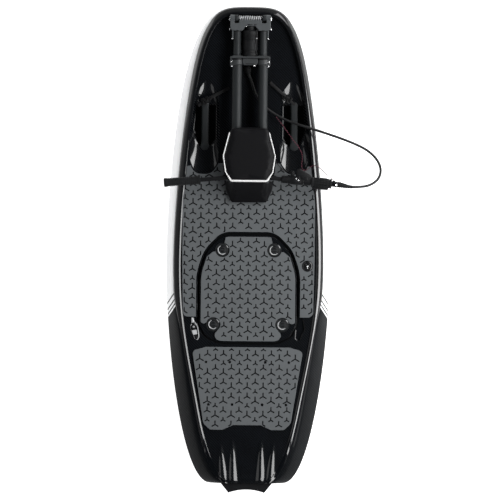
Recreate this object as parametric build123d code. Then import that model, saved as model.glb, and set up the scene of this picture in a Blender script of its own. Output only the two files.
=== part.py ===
from build123d import *
from math import pi, radians, sin, tan
import os

# Jet-powered surfboard with a fold-down twin-tube handle pole.
# Millimetres. +X starboard, +Y to the nose, +Z up. The flat bottom stands on Z = 0.

# --- Hull outline and profile ---------------------------------------------------------
nose_y = 923.0                           # tip of the nose
transom_y = -887.0                       # flat transom
widest_y = -60.0                         # station of the greatest beam
half_beam = 312.0
transom_half = 139.0
nose_power, nose_root = 1.71, 3.65       # fullness of the nose outline
stern_power, stern_root = 1.67, 2.04     # fullness of the stern outline
nose_cut = 1.5                           # flat left at the very tip
deck_z = 150.0                           # crest of the rail amidships
nose_lift, nose_lift_from = 38.0, 300.0  # how far the crest rises at the nose, and from where
stern_drop, stern_drop_from = 26.0, -450.0
rocker_nose, nose_curve = 128.0, 3.4     # how far the bottom rises at the nose
rocker_stern, stern_curve = 24.0, 4
keel_trim = 5.0                          # planed off below Z = 0, which leaves the flat
chine_share = 0.42                       # height of the widest line, as a share of the depth
chine_band = 10.0                        # height of the blunt edge along the chine
shoulder_nose, shoulder_mid, shoulder_stern = 6.0, 33.0, 56.0    # how far the crest lies inside the chine
shoulder_limit = 0.35                    # most of the half beam that a shoulder may take
shoulder_stern_from, shoulder_stern_to = widest_y - 90.0, transom_y + 267.0
bilge, bilge_limit = 62.0, 0.45          # how far the flat bottom lies inside the chine
crest_bevel = 7.0

# --- Deck well, rail and pads ---------------------------------------------------------
rail_nose, rail_mid = 30.0, 13.0         # width of the rounded rail
well_nose, well_mid = 22.0, 7.0          # depth of the deck below the crest
well_deepen_from, well_deepen_to = 150.0, 550.0
well_end_y = transom_y + 172.0
well_fade = 40.0                         # length over which the well fades out at the stern
pad_thick = 6.0
pad_margin = 15.0                        # bare deck between the rail and the main pad
pad_front_y, pad_back_y = 327.0, -256.0
pad_gap = 5.0                            # bare channel between a pad and what it goes round
ridge_height, ridge_long = 5.0, 165.0    # pair of ridges over the jet tunnel
ridge_in, ridge_out, ridge_toe_in, ridge_toe_out = 70.0, 108.0, 88.0, 100.0
strap_rows = {"front": (67.0, 157.0, -427.0), "rear": (57.0, 147.0, -588.0)}
strap_hole_r, strap_hole_deep, pad_hole_r = 3.2, 20.0, 5.0
cap_x, cap_y, cap_r = 224.0, -61.0, 19.0

# --- Engine hatch and bay -------------------------------------------------------------
hatch_front_y, hatch_back_y = 57.6, -356.6
hatch_half_front, hatch_half, hatch_back_half = 108.0, 188.0, 122.0
hatch_widen_y, hatch_narrow_y = -50.0, -278.0
hatch_radii = [70.0, 90.0, 55.0, 55.0]
hatch_channel = 8.0                      # open channel all round the lid
lid_thick = 13.0
latch_r, latch_well_r = 19.0, 27.0
latch_key_wide, latch_key_high = 8.0, 5.0
latch_spots = {
    "latch_front_left": (-98.5, -2.0), "latch_front_right": (98.5, -2.0),
    "latch_rear_left": (-131.0, -284.5), "latch_rear_right": (131.0, -284.5),
}
bay_side_ledge, bay_front_ledge, bay_back_ledge = 46.0, 35.6, 38.6
bay_floor, bay_corner_r = 20.0, 30.0
engine_side_gap, engine_front_gap, engine_back_gap = 37.0, 42.0, 43.0
engine_top, coupling_deep = 112.0, 30.0
recess_deep, cleat_y = 10.0, -307.0      # teardrop recess beside each rear corner, and the cleat in one

# --- Jet drive ------------------------------------------------------------------------
jet_z = 66.0
duct_r, duct_wall, duct_long = 40.0, 4.0, 240.0
duct_set_back = 7.0                      # the duct ends this far inside the transom
nozzle_r, nozzle_long = 26.0, 26.0
shaft_r, shaft_room = 7.0, 3.0
impeller_set_back, impeller_long, impeller_hub_r = 95.0, 46.0, 17.0
impeller_nose_long = 22.0
impeller_tip_gap = 1.5
blade_count, blade_long, blade_thick, blade_pitch = 4, 62.0, 2.5, 38.0
stator_count, stator_thick, stator_boss_r = 5, 4.0, 15.0
bearing_fit = 0.05
intake_long = 209.0
grate_z, grate_thick, grate_bar, grate_pitch = 2.0, 7.0, 5.0, 16.0
shroud_long, shroud_half, shroud_end_half, shroud_hollow = 36.0, 97.0, 68.0, 12.0
shroud_wall = 4.0
fin_x, fin_thick, fin_long, fin_set_forward = transom_half + 31.0, 6.0, 122.0, 65.0

# --- Carry pockets --------------------------------------------------------------------
bar_x, bar_r = 169.0, 13.0
bar_front_y, bar_back_y = 552.0, 386.0
bar_sink = 12.0                          # bar axis below the scoop's floor
pocket_mid_y = 470.0
pocket_depth = 56.0
scoop_depth = 14.0
hole_corner_r = 8.0

# --- Handle pole ----------------------------------------------------------------------
pivot_y, pivot_z = nose_y - 48.0, deck_z + 42.0
pivot_shaft_r = 6.0
knuckle_r = 13.0
spring_r = 9.5
ear_in, ear_thick, ear_gap = 46.0, 13.0, 0.5
crown_lug, crown_long, crown_half_high = 17.5, 46.0, 16.0
arch_foot, arch_top, arch_rise = 33.0, 18.0, 16.0
arm_thick, arm_long, arm_half_high = 6.0, 36.0, 8.0
tube_x = 49.0
inner_tube_r, outer_tube_r, tube_wall = 14.5, 18.0, 2.5
inner_tube_bare, inner_tube_lap = 96.0, 99.0     # bare length, and length inside the outer tube
clamp_long, clamp_flange, clamp_wall = 39.0, 10.0, 4.0
clamp_lug_in, clamp_lug_out = 9.0, 9.0           # lugs, from the tube's axis and from its skin
bridge_inset, bridge_half_high = 17.0, 15.0
damper_r = 28.0
seat = 0.3                               # clearance where soft or fitted pieces meet

# --- Handlebar and chin pad -----------------------------------------------------------
handlebar_y, handlebar_r, handlebar_sweep = 271.0, 8.0, 5.0
handlebar_over_tube = 4.0
handlebar_bend_x, handlebar_bend_r = 80.0, 60.0
handlebar_left, handlebar_right = -318.0, 306.0
tube_tail = 35.0                         # the tubes end this far aft of the handlebar
head_wall, head_reach = 6.0, 20.0
grip_in, grip_out, grip_r, collar_r, collar_long = 184.0, 322.0, 16.0, 19.0, 8.0
throttle_clamp_in, throttle_clamp_out, throttle_clamp_r = 122.0, 206.0, 15.0
switch_x, switch_r = 163.0, 8.0
lever_in, lever_out, lever_r, lever_reach = 206.5, 233.5, 14.0, 36.0
throttle_in, throttle_out, throttle_r = 234.0, 312.0, 19.0
socket_long, socket_r = 22.0, 11.0
pad_over_head, pad_below_pivot = 18.0, 36.0
pad_rake = 88.0                          # how far the pad's base reaches aft of its top
chin_pad_points = [(66.0, 191.0), (74.0, 179.0), (99.0, 83.0), (90.0, 22.0), (68.0, -12.0)]
chin_pad_radii = [8, 10, 16, 12, 10]

# --- Cords ----------------------------------------------------------------------------
gland_x, gland_y, gland_r, gland_high = -10.0, 682.0, 14.0, 10.0
cable_r = 5.0
cable_route = [
    (-5.0, 664.0, 158.0), (8.0, 630.0, 159.5), (19.0, 592.0, 158.0), (44.0, 552.0, 157.0),
    (86.0, 518.0, 158.0), (138.0, 491.0, 161.0), (194.0, 472.0, 166.0), (248.0, 456.0, 169.0),
    (302.0, 439.0, 168.0), (355.0, 421.0, 164.0), (405.0, 402.0, 160.0), (450.0, 379.0, 157.0),
    (484.0, 347.0, 160.0), (500.0, 310.0, 170.0), (493.0, 275.0, 184.0), (466.0, 251.0, 201.0),
    (430.0, 240.0, 215.0), (391.0, 240.0, 221.0),
]
thin_cord_r = 1.5
kill_cord_route = [
    (101.0, 503.0, 167.0), (122.0, 476.0, 162.0), (145.0, 445.0, 156.0), (167.0, 414.0, 151.0),
    (187.0, 392.0, 148.0), (200.0, 366.0, 148.0), (201.0, 340.0, 150.0), (197.0, 317.0, 151.0),
    (206.0, 300.0, 151.5), (223.0, 306.0, 152.0), (238.0, 321.0, 155.0), (258.0, 319.0, 163.0),
    (280.0, 300.0, 176.0), (301.0, 280.0, 195.0), (318.0, 265.0, 216.0),
]
switch_lead_route = [
    (99.0, 333.0, 228.0), (110.0, 319.0, 219.0), (124.0, 306.0, 213.0), (139.0, 297.0, 213.0),
    (154.0, 292.5, 220.0),
]
webbing_r, webbing_start_x, webbing_start_y = 5.0, 84.0, 628.0

# --- Worked out from the above --------------------------------------------------------
duct_back_y = transom_y + duct_set_back
duct_front_y = duct_back_y + duct_long
duct_outer = duct_r + duct_wall
nozzle_end_y = duct_back_y - nozzle_long
impeller_y = duct_front_y - impeller_set_back
intake_half = duct_r - duct_wall
intake_back_y = duct_front_y + 1.0
intake_front_y = intake_back_y + intake_long
grate_top = grate_z + grate_thick
bay_half = hatch_half - bay_side_ledge
bay_front_y, bay_back_y = hatch_front_y - bay_front_ledge, hatch_back_y + bay_back_ledge
engine_back_y = bay_back_y + engine_back_gap
ear_out = ear_in + ear_thick
crown_in = ear_out + ear_gap
crown_out = crown_in + crown_lug
crown_back_y = pivot_y - crown_long
clamp_front_y = crown_back_y - inner_tube_bare
clamp_back_y = clamp_front_y - clamp_long
flange_y = clamp_front_y - clamp_flange
clamp_half = tube_x + outer_tube_r + clamp_lug_out
tube_end_y = handlebar_y - tube_tail
handlebar_z = pivot_z + outer_tube_r + handlebar_r + handlebar_over_tube
head_half = tube_x + outer_tube_r + head_wall
head_low_z = pivot_z - outer_tube_r - clamp_wall
head_top_z = handlebar_z + handlebar_r + head_wall
sides = ((-1, "left"), (1, "right"))
high, wide = 400.0, 600.0                # past the top and past either side of the whole board


# --- Hull lines: each gives a size at a station along the board -----------------------
def smooth(t):
    t = min(max(t, 0.0), 1.0)
    return t * t * (3.0 - 2.0 * t)


def half_width(y):
    """Half the beam at the chine: one oval forward of the widest station, another aft of it."""
    if y >= widest_y:
        t = (y - widest_y) / (nose_y - widest_y)
        return half_beam * (1.0 - t**nose_power) ** (1.0 / nose_root)
    t = (widest_y - y) / (widest_y - transom_y)
    spread = half_beam - transom_half
    return transom_half + spread * max(1.0 - t**stern_power, 0.0) ** (1.0 / stern_root)


def crest_z(y):
    """Height of the rail's crest."""
    up = nose_lift * (max(y - nose_lift_from, 0.0) / (nose_y - nose_lift_from)) ** 2
    down = stern_drop * (max(stern_drop_from - y, 0.0) / (stern_drop_from - transom_y)) ** 2
    return deck_z + up - down


def bottom_z(y):
    """Height of the bottom before the flat is planed."""
    if y > 0:
        return -keel_trim + (rocker_nose + keel_trim) * (y / nose_y) ** nose_curve
    return -keel_trim + (rocker_stern + keel_trim) * (y / transom_y) ** stern_curve


def chine_z(y):
    low = max(bottom_z(y), 0.0)
    return low + chine_share * (crest_z(y) - low)


def shoulder(y):
    """How far the crest of the rail lies inside the chine."""
    if y > 0:
        return shoulder_mid - (shoulder_mid - shoulder_nose) * (y / nose_y) ** 3
    aft = smooth((shoulder_stern_from - y) / (shoulder_stern_from - shoulder_stern_to))
    return min(shoulder_mid + (shoulder_stern - shoulder_mid) * aft, shoulder_limit * half_width(y))


def crest_half(y):
    return half_width(y) - shoulder(y)


def well_half(y):
    """Half the width of the deck well, inside the rail."""
    if y < widest_y:
        return crest_half(y) - rail_mid
    t = (y - widest_y) / (nose_y - rail_nose - widest_y)
    return (crest_half(widest_y) - rail_mid) * (1.0 - t**nose_power) ** (1.0 / nose_root)


def floor_z(y):
    """Height of the deck: deep below the crest at the nose, level with it at the stern."""
    deepen = smooth((y - well_deepen_from) / (well_deepen_to - well_deepen_from))
    depth = well_mid + (well_nose - well_mid) * deepen
    return crest_z(y) - depth * smooth((y - well_end_y) / well_fade + 1.0)


def spaced(start, end, count):
    return [start + (end - start) * i / count for i in range(count + 1)]


def crowded(start, end, count, stop=1.0):
    """Stations that crowd together towards the end, where the outline turns fastest."""
    return [start + (end - start) * stop * sin(i / count * pi / 2) for i in range(1, count + 1)]


mid_floor = floor_z(0.0)
lid_seat_z = mid_floor - lid_thick
bar_z = floor_z(pocket_mid_y) - scoop_depth - bar_sink


# --- Shapes used by every piece -------------------------------------------------------
def side_band(curve, low, top):
    """A slab that follows a fore-and-aft curve, between two heights above it."""
    under, over = curve.moved(Location((0, 0, low))), curve.moved(Location((0, 0, top)))
    ends = [Line(under @ 0, over @ 0), Line(under @ 1, over @ 1)]
    return extrude(make_face([under, over] + ends), amount=wide, both=True, dir=(1, 0, 0))


def upright(face, low, top):
    """A plan outline raised into a prism between two heights."""
    return extrude(face.moved(Location((0, 0, low))), amount=top - low, dir=(0, 0, 1))


def plan(points, radii):
    """A flat outline with a rounding for each corner."""
    return make_face(FilletPolyline(*points, radius=radii, close=True).edges())


def mirror_plan(points, radii):
    """A right-hand outline, from front to back, closed by its mirror image."""
    return plan(points + [(-x, y) for x, y in reversed(points)], radii + radii[::-1])


def box(x0, x1, y0, y1, z0, z1):
    size = (abs(x1 - x0), abs(y1 - y0), abs(z1 - z0))
    return Box(*size).moved(Location(((x0 + x1) / 2, (y0 + y1) / 2, (z0 + z1) / 2)))


def rod(start, end, r, r_end=None):
    """A round bar, or a cone, from one point to another."""
    axis = Vector(*end) - Vector(*start)
    base = Plane(origin=start, z_dir=axis) * Circle(r)
    if r_end is None:
        return extrude(base, amount=axis.length, dir=axis.normalized())
    return loft([base, Plane(origin=end, z_dir=axis) * Circle(r_end)])


def fore_aft(x, z, y0, y1, r, r_end=None):
    """A round bar along the board."""
    return rod((x, y0, z), (x, y1, z), r, r_end)


def tube(x, z, front_y, back_y, r, wall=tube_wall):
    """A tube along the board."""
    return fore_aft(x, z, front_y, back_y, r) - fore_aft(x, z, front_y + 1, back_y - 1, r - wall)


# --- Outlines shared by the hull, the pads and the hatch ------------------------------
def well_outline():
    right = [(well_half(y), y) for y in spaced(well_end_y - well_fade / 8, widest_y, 5)]
    tip_y = nose_y - rail_nose
    right += [(well_half(y), y) for y in crowded(widest_y, tip_y, 9, 0.9995)]
    curve = Spline(*(right + [(0, tip_y)] + [(-x, y) for x, y in reversed(right)]))
    return make_face([curve, Line(curve @ 1, curve @ 0)])


def hatch_outline(grow):
    """The hatch outline, moved outwards by an even amount."""
    points = [(hatch_half_front, hatch_front_y), (hatch_half, hatch_widen_y),
              (hatch_half, hatch_narrow_y), (hatch_back_half, hatch_back_y)]
    return offset(mirror_plan(points, hatch_radii), amount=grow, kind=Kind.ARC)


def beside_bar(side, offsets, radii):
    """An outline given as distances outboard of the grab bar and stations along the board."""
    return plan([(side * (bar_x + out), y) for out, y in offsets], radii)


def pocket_outline(side):
    """The teardrop scoop round each grab bar, pointed forward and round aft."""
    offsets = [(-7, bar_front_y + 98), (34, bar_front_y + 38), (58, 440), (37, bar_back_y - 68),
               (7, bar_back_y - 93), (-27, bar_back_y - 68), (-51, 420), (-49, bar_front_y + 38)]
    return beside_bar(side, offsets, [12, 60, 80, 26, 26, 30, 80, 60])


def hole_outline(side):
    """The deep six-sided hand hole, whose front and back faces carry the grab bar."""
    offsets = [(-47, bar_front_y), (37, bar_front_y), (48, 455),
               (21, bar_back_y), (-17, bar_back_y), (-47, 420)]
    return beside_bar(side, offsets, [hole_corner_r] * len(offsets))


def recess_outline(side):
    """The teardrop recess just outboard of each rear corner of the hatch."""
    offsets = [(-4, -262), (21, -256), (29, -300), (8, -346), (-8, -338)]
    return plan([(side * (hatch_half + out), y) for out, y in offsets], [9, 9, 18, 9, 7])


def ridge_outline(side):
    front_y = transom_y + ridge_long
    points = [(ridge_toe_out, front_y), (ridge_toe_in, front_y),
              (ridge_in, transom_y), (ridge_out, transom_y)]
    return plan([(side * x, y) for x, y in points], [4, 4, 0, 0])


def strap_holes(deep, r):
    """Holes at the threaded inserts for the foot straps, two in a line on each side at each row."""
    holes = []
    for inner, outer, y in strap_rows.values():
        for x in (-outer, -inner, inner, outer):
            holes.append(rod((x, y, floor_z(y) - deep), (x, y, high), r))
    return Part() + holes


def fore_aft_curve(height):
    """A height followed from past the transom to past the nose, closer where the well fades out."""
    past = 80.0
    aft = [transom_y - past, transom_y, well_end_y - 2 * well_fade, well_end_y, well_end_y + well_fade]
    fore = spaced(well_end_y + 3 * well_fade, nose_y + past, 16)
    return Spline(*[(0, y, height(y)) for y in aft + fore])


deck_curve = fore_aft_curve(floor_z)


# --- Hull, split along the chine ------------------------------------------------------
def hull_section(y):
    half, crest, top, chine = half_width(y), crest_half(y), crest_z(y), chine_z(y)
    flat = max(half - bilge, bilge_limit * half)
    right = [(flat, bottom_z(y)), (half, chine - chine_band / 2), (half, chine + chine_band / 2),
             (crest + 0.35 * crest_bevel, top - crest_bevel), (crest - crest_bevel, top)]
    points = right + [(-x, z) for x, z in reversed(right)]
    return Wire.make_polygon([Vector(x, y, z) for x, z in points], close=True)


def cut_drive_way(body):
    """The pump's duct, the shaft's bore and the intake that slopes up to the duct's mouth."""
    body -= fore_aft(0, jet_z, duct_front_y, transom_y - 10, duct_outer)
    body -= fore_aft(0, jet_z, duct_front_y, bay_back_y + 10, shaft_r + shaft_room)
    body -= box(-intake_half, intake_half, intake_back_y, intake_front_y, -10, grate_top)
    slope = Polyline((0, intake_front_y, grate_top), (0, intake_back_y, grate_top),
                     (0, duct_front_y, jet_z - duct_outer), (0, duct_front_y, jet_z + duct_r),
                     (0, duct_front_y + 60, jet_z + duct_r - 12), close=True)
    return body - extrude(make_face(slope), amount=intake_half, both=True, dir=(1, 0, 0))


def make_hull():
    fore = crowded(widest_y, nose_y, 11, (nose_y - nose_cut - widest_y) / (nose_y - widest_y))
    aft = crowded(widest_y, transom_y, 8)
    body = Part(Solid.make_loft([hull_section(y) for y in sorted(fore + [widest_y] + aft)]).wrapped)
    body -= box(-wide, wide, 2 * transom_y, 2 * nose_y, -high, 0)
    for side, _ in sides:
        body += upright(ridge_outline(side), 0, high) & side_band(deck_curve, -12, ridge_height)
    body -= upright(well_outline(), 0, high) & side_band(deck_curve, 0, high)
    for side, _ in sides:
        body -= upright(pocket_outline(side), 0, high) & side_band(deck_curve, -scoop_depth, high)
        body -= upright(hole_outline(side), floor_z(pocket_mid_y) - pocket_depth, high)
        body -= upright(recess_outline(side), mid_floor - recess_deep, high)
    body -= upright(hatch_outline(hatch_channel / 2), lid_seat_z, high)
    bay = mirror_plan([(bay_half, bay_front_y), (bay_half, bay_back_y)], [bay_corner_r] * 2)
    body -= upright(bay, bay_floor, high)
    body = cut_drive_way(body)
    body -= strap_holes(strap_hole_deep, strap_hole_r)
    upper_half = side_band(fore_aft_curve(chine_z), 0, high)
    return {"deck_shell": body & upper_half, "hull_bottom": body - upper_half}


# --- Engine, shaft and jet pump -------------------------------------------------------
def make_engine():
    half, front_y = bay_half - engine_side_gap, bay_front_y - engine_front_gap
    block = box(-half, half, engine_back_y, front_y, bay_floor, engine_top)
    coupling = fore_aft(0, jet_z, engine_back_y - 1, engine_back_y + coupling_deep, shaft_r + bearing_fit)
    return {"engine_block": block - coupling}


def make_pump():
    housing = tube(0, jet_z, duct_front_y, duct_back_y, duct_outer, duct_wall)
    boss_back, boss_front = duct_back_y + 8, duct_back_y + 70
    shaft_end = boss_back + 6
    for i in range(stator_count):
        vane = box(-stator_thick / 2, stator_thick / 2, boss_back + 7, boss_front,
                   stator_boss_r - 2, duct_r + 1)
        housing += vane.rotate(Axis.Y, 360 / stator_count * i).moved(Location((0, 0, jet_z)))
    housing += fore_aft(0, jet_z, boss_back, boss_front, stator_boss_r)
    housing -= fore_aft(0, jet_z, shaft_end, boss_front + 1, shaft_r + bearing_fit)
    nozzle = fore_aft(0, jet_z, duct_back_y, nozzle_end_y, duct_outer, nozzle_r + duct_wall)
    nozzle -= fore_aft(0, jet_z, duct_back_y, nozzle_end_y, duct_r, nozzle_r)
    front_y, back_y = impeller_y + impeller_long / 2, impeller_y - impeller_long / 2
    rotor = fore_aft(0, jet_z, front_y, back_y, impeller_hub_r)
    for i in range(blade_count):
        blade = box(-blade_thick / 2, blade_thick / 2, -blade_long / 2, blade_long / 2,
                    impeller_hub_r - 4, duct_r + 10).rotate(Axis.Z, blade_pitch)
        rotor += blade.rotate(Axis.Y, 360 / blade_count * i).moved(Location((0, impeller_y, jet_z)))
    rotor &= fore_aft(0, jet_z, front_y, back_y, duct_r - impeller_tip_gap)
    rotor += fore_aft(0, jet_z, front_y, front_y + impeller_nose_long, impeller_hub_r, shaft_r)
    rotor += fore_aft(0, jet_z, engine_back_y + coupling_deep - 5, shaft_end + 2, shaft_r)
    return {"pump_housing": housing, "jet_nozzle": nozzle, "impeller": rotor}


# --- Bottom and stern: intake grate, fins and jet shroud ------------------------------
def make_grate():
    bars = []
    for i in range(4):
        x = (i - 1.5) * grate_pitch
        bars.append(box(x - grate_bar / 2, x + grate_bar / 2, intake_back_y, intake_front_y,
                        grate_z, grate_top))
    for y in (intake_front_y - 10, intake_back_y):
        bars.append(box(-intake_half, intake_half, y, y + 10, grate_z, grate_top))
    return {"intake_grate": Part() + bars}


def make_fins(hull):
    back_y = transom_y + fin_set_forward
    profile = Polyline((0, back_y + fin_long, 12), (0, back_y + 10, 16), (0, back_y, 0), (0, back_y + 50, 0),
                       close=True)
    fin = extrude(make_face(profile), amount=fin_thick / 2, both=True, dir=(1, 0, 0))
    return {f"stern_fin_{word}": fin.moved(Location((side * fin_x, 0, 0))) - hull for side, word in sides}


def make_shroud():
    """A cowl behind the transom, open aft, with a hollow-curved trailing edge."""
    end_y = transom_y - shroud_long
    low, top = jet_z - duct_outer, jet_z + duct_outer + 2 * shroud_wall
    edge = ThreePointArc((shroud_end_half, end_y), (0, end_y + shroud_hollow), (-shroud_end_half, end_y))
    front = Line((-shroud_half, transom_y), (shroud_half, transom_y))
    face = make_face([front, Line(front @ 1, edge @ 0), edge, Line(edge @ 1, front @ 0)])
    inside, end_inside = shroud_half - 7, shroud_end_half - 7
    hollow = mirror_plan([(inside, transom_y + 5), (inside, transom_y), (end_inside, end_y - 7)], [0, 0, 0])
    shroud = upright(face, low, top) - upright(hollow, low + shroud_wall, top - shroud_wall - 1)
    return {"jet_shroud": shroud - fore_aft(0, jet_z, transom_y + 5, end_y - 7, duct_outer + 2)}


# --- Pads -----------------------------------------------------------------------------
def make_pads():
    skin = side_band(deck_curve, 0, pad_thick)
    half = well_half(widest_y) - pad_margin
    main = [(118, pad_front_y), (half - 11, pad_front_y - 12), (half, pad_front_y - 80), (half, widest_y),
            (half - 4, pad_back_y)]
    main = upright(mirror_plan(main, [0, 12, 90, 200, 20]), 0, high)
    main -= upright(hatch_outline(hatch_channel / 2 + pad_gap), 0, high)
    for side, _ in sides:
        main -= upright(offset(pocket_outline(side), amount=pad_gap, kind=Kind.ARC), 0, high)
    main -= rod((cap_x, cap_y, 0), (cap_x, cap_y, high), cap_r + 2)
    rear = [(159, -370), (210, -385), (166, -660), (140, -684), (92, -684), (53, -666)]
    rear = upright(mirror_plan(rear, [14, 16, 30, 16, 10, 10]), 0, high) - strap_holes(pad_thick, pad_hole_r)
    return {"main_deck_pad": main & skin, "rear_deck_pad": rear & skin}


# --- Hatch, its pad and its latches ---------------------------------------------------
def make_hatch():
    lid = upright(hatch_outline(-hatch_channel / 2), lid_seat_z, mid_floor)
    pad = upright(hatch_outline(-hatch_channel / 2 - pad_gap), mid_floor, mid_floor + pad_thick)
    pieces = {"hatch_cover": lid}
    knob_top = mid_floor + pad_thick
    for name, (x, y) in latch_spots.items():
        pad -= rod((x, y, mid_floor - 1), (x, y, high), latch_well_r)
        key = latch_r - 3
        knob = rod((x, y, mid_floor), (x, y, knob_top), latch_r)
        pieces[name] = knob + box(x - key, x + key, y - latch_key_wide / 2, y + latch_key_wide / 2,
                                  knob_top, knob_top + latch_key_high)
    pieces["hatch_pad"] = pad
    return pieces


# --- Deck fittings --------------------------------------------------------------------
def make_deck_fittings(deck):
    pieces = {"filler_cap": rod((cap_x, cap_y, mid_floor), (cap_x, cap_y, mid_floor + pad_thick + 1), cap_r)}
    base, x = mid_floor - recess_deep, -(hatch_half + 8)
    cleat = box(x - 12, x + 10, cleat_y - 13, cleat_y + 15, base, base + 4)
    cleat += box(x - 4, x + 4, cleat_y - 27, cleat_y + 13, base, base + 5)
    cleat += rod((x, cleat_y - 27, base), (x, cleat_y - 27, base + 9), 9)
    cleat += rod((x - 6, cleat_y + 13, base), (x - 6, cleat_y + 13, base + 8), 8)
    pieces["deck_cleat"] = cleat - deck
    for side, word in sides:
        pieces[f"grab_bar_{word}"] = fore_aft(side * bar_x, bar_z, bar_front_y, bar_back_y, bar_r) - deck
    z = floor_z(gland_y)
    gland = rod((gland_x, gland_y, z - 3), (gland_x, gland_y, z + gland_high), gland_r)
    cable_way = Vector(*cable_route[1]) - Vector(*cable_route[0])
    mouth = Plane(origin=(gland_x, gland_y, z + gland_high - 2), z_dir=cable_way) * Circle(gland_r - 5)
    exit_ring = Plane(origin=cable_route[0], z_dir=cable_way) * Circle(cable_r + 1.5)
    pieces["cable_gland"] = gland + loft([mouth, exit_ring]) - deck
    straps = []
    for side, _ in sides:
        end_y = bar_front_y + 10
        start = (side * webbing_start_x, webbing_start_y, floor_z(webbing_start_y) + webbing_r + seat)
        straps.append(rod(start, (side * (bar_x - 12), end_y, floor_z(end_y) + webbing_r + seat), webbing_r))
    pieces["bridle_strap"] = Part() + straps
    return pieces


# --- Handle pole ----------------------------------------------------------------------
def across(x0, x1, r):
    """A round bar across the board, on the pole's pivot."""
    return rod((x0, pivot_y, pivot_z), (x1, pivot_y, pivot_z), r)


def make_pivot(deck):
    foot_z = floor_z(pivot_y)
    foot = box(-ear_out, ear_out, pivot_y - 2 * knuckle_r, pivot_y + 4, foot_z - 1, foot_z + 5)
    for side, _ in sides:
        foot += across(side * ear_in, side * ear_out, knuckle_r)
        foot += box(side * ear_in, side * ear_out, pivot_y - knuckle_r, pivot_y + 4, foot_z, pivot_z)
    foot -= across(-crown_out, crown_out, pivot_shaft_r)
    spring = across(-ear_in + 2, ear_in - 2, spring_r) - across(-ear_in, ear_in, pivot_shaft_r)
    shaft = across(-crown_out - 2, crown_out + 2, pivot_shaft_r)
    return {"pole_base": foot - deck, "pivot_shaft": shaft, "torsion_spring": spring}


def make_crown():
    low, top = pivot_z - crown_half_high, pivot_z + crown_half_high
    front_y = pivot_y - knuckle_r - 5
    crown = box(-crown_out, crown_out, crown_back_y, front_y, low, top)
    tongue = ear_in - 6
    crown += box(-tongue, tongue, front_y - 1, pivot_y - spring_r - 2, pivot_z, top)
    arch = mirror_plan([(arch_top, crown_back_y + arch_rise), (arch_foot, crown_back_y - 1)], [6, 0])
    crown -= upright(arch, low - 1, top + 1)
    arm_in, lug_half_high = tube_x + inner_tube_r, knuckle_r - 2
    for side, _ in sides:
        crown += across(side * crown_in, side * crown_out, knuckle_r)
        crown += box(side * crown_in, side * crown_out, crown_back_y, pivot_y,
                     pivot_z - lug_half_high, pivot_z + lug_half_high)
        crown += box(side * arm_in, side * (arm_in + arm_thick), crown_back_y - arm_long, crown_back_y + 1,
                     pivot_z - arm_half_high, pivot_z + arm_half_high)
    return {"pole_crown": crown - across(-crown_out - 1, crown_out + 1, pivot_shaft_r + bearing_fit)}


def make_tubes():
    pieces = {}
    lug_in = tube_x + clamp_lug_in
    bridge = tube_x - bridge_inset
    plate_half_high = outer_tube_r + clamp_wall
    clamp = box(-clamp_half, clamp_half, flange_y, clamp_front_y, pivot_z - plate_half_high,
                pivot_z + plate_half_high)
    clamp += box(-bridge, bridge, clamp_back_y + 5, flange_y + 1, pivot_z - bridge_half_high,
                 pivot_z + bridge_half_high)
    for side, word in sides:
        x = side * tube_x
        lap_y = clamp_front_y - inner_tube_lap
        pieces[f"inner_tube_{word}"] = tube(x, pivot_z, crown_back_y, lap_y, inner_tube_r)
        pieces[f"outer_tube_{word}"] = tube(x, pivot_z, flange_y, tube_end_y, outer_tube_r)
        clamp += box(side * lug_in, side * clamp_half, clamp_back_y, flange_y + 1, pivot_z - 11, pivot_z + 11)
        clamp -= fore_aft(x, pivot_z, flange_y, clamp_back_y - 1, outer_tube_r)
        clamp -= fore_aft(x, pivot_z, clamp_front_y + 1, flange_y - 1, inner_tube_r)
    pieces["mid_clamp"] = clamp
    nose = fore_aft(0, pivot_z, crown_back_y, crown_back_y + arch_rise, damper_r, arch_top - 2)
    pieces["pole_damper"] = nose + fore_aft(0, pivot_z, crown_back_y, clamp_front_y, damper_r)
    return pieces


# --- Handlebar, throttle and chin pad -------------------------------------------------
def bar_point(x):
    """A point on the handlebar's axis, which sweeps aft beyond its bends."""
    back = max(abs(x) - handlebar_bend_x, 0.0) * tan(radians(handlebar_sweep))
    return (x, handlebar_y - back, handlebar_z)


def along(x0, x1, r):
    """A round piece along the straight outer part of the handlebar."""
    return rod(bar_point(x0), bar_point(x1), r)


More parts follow.
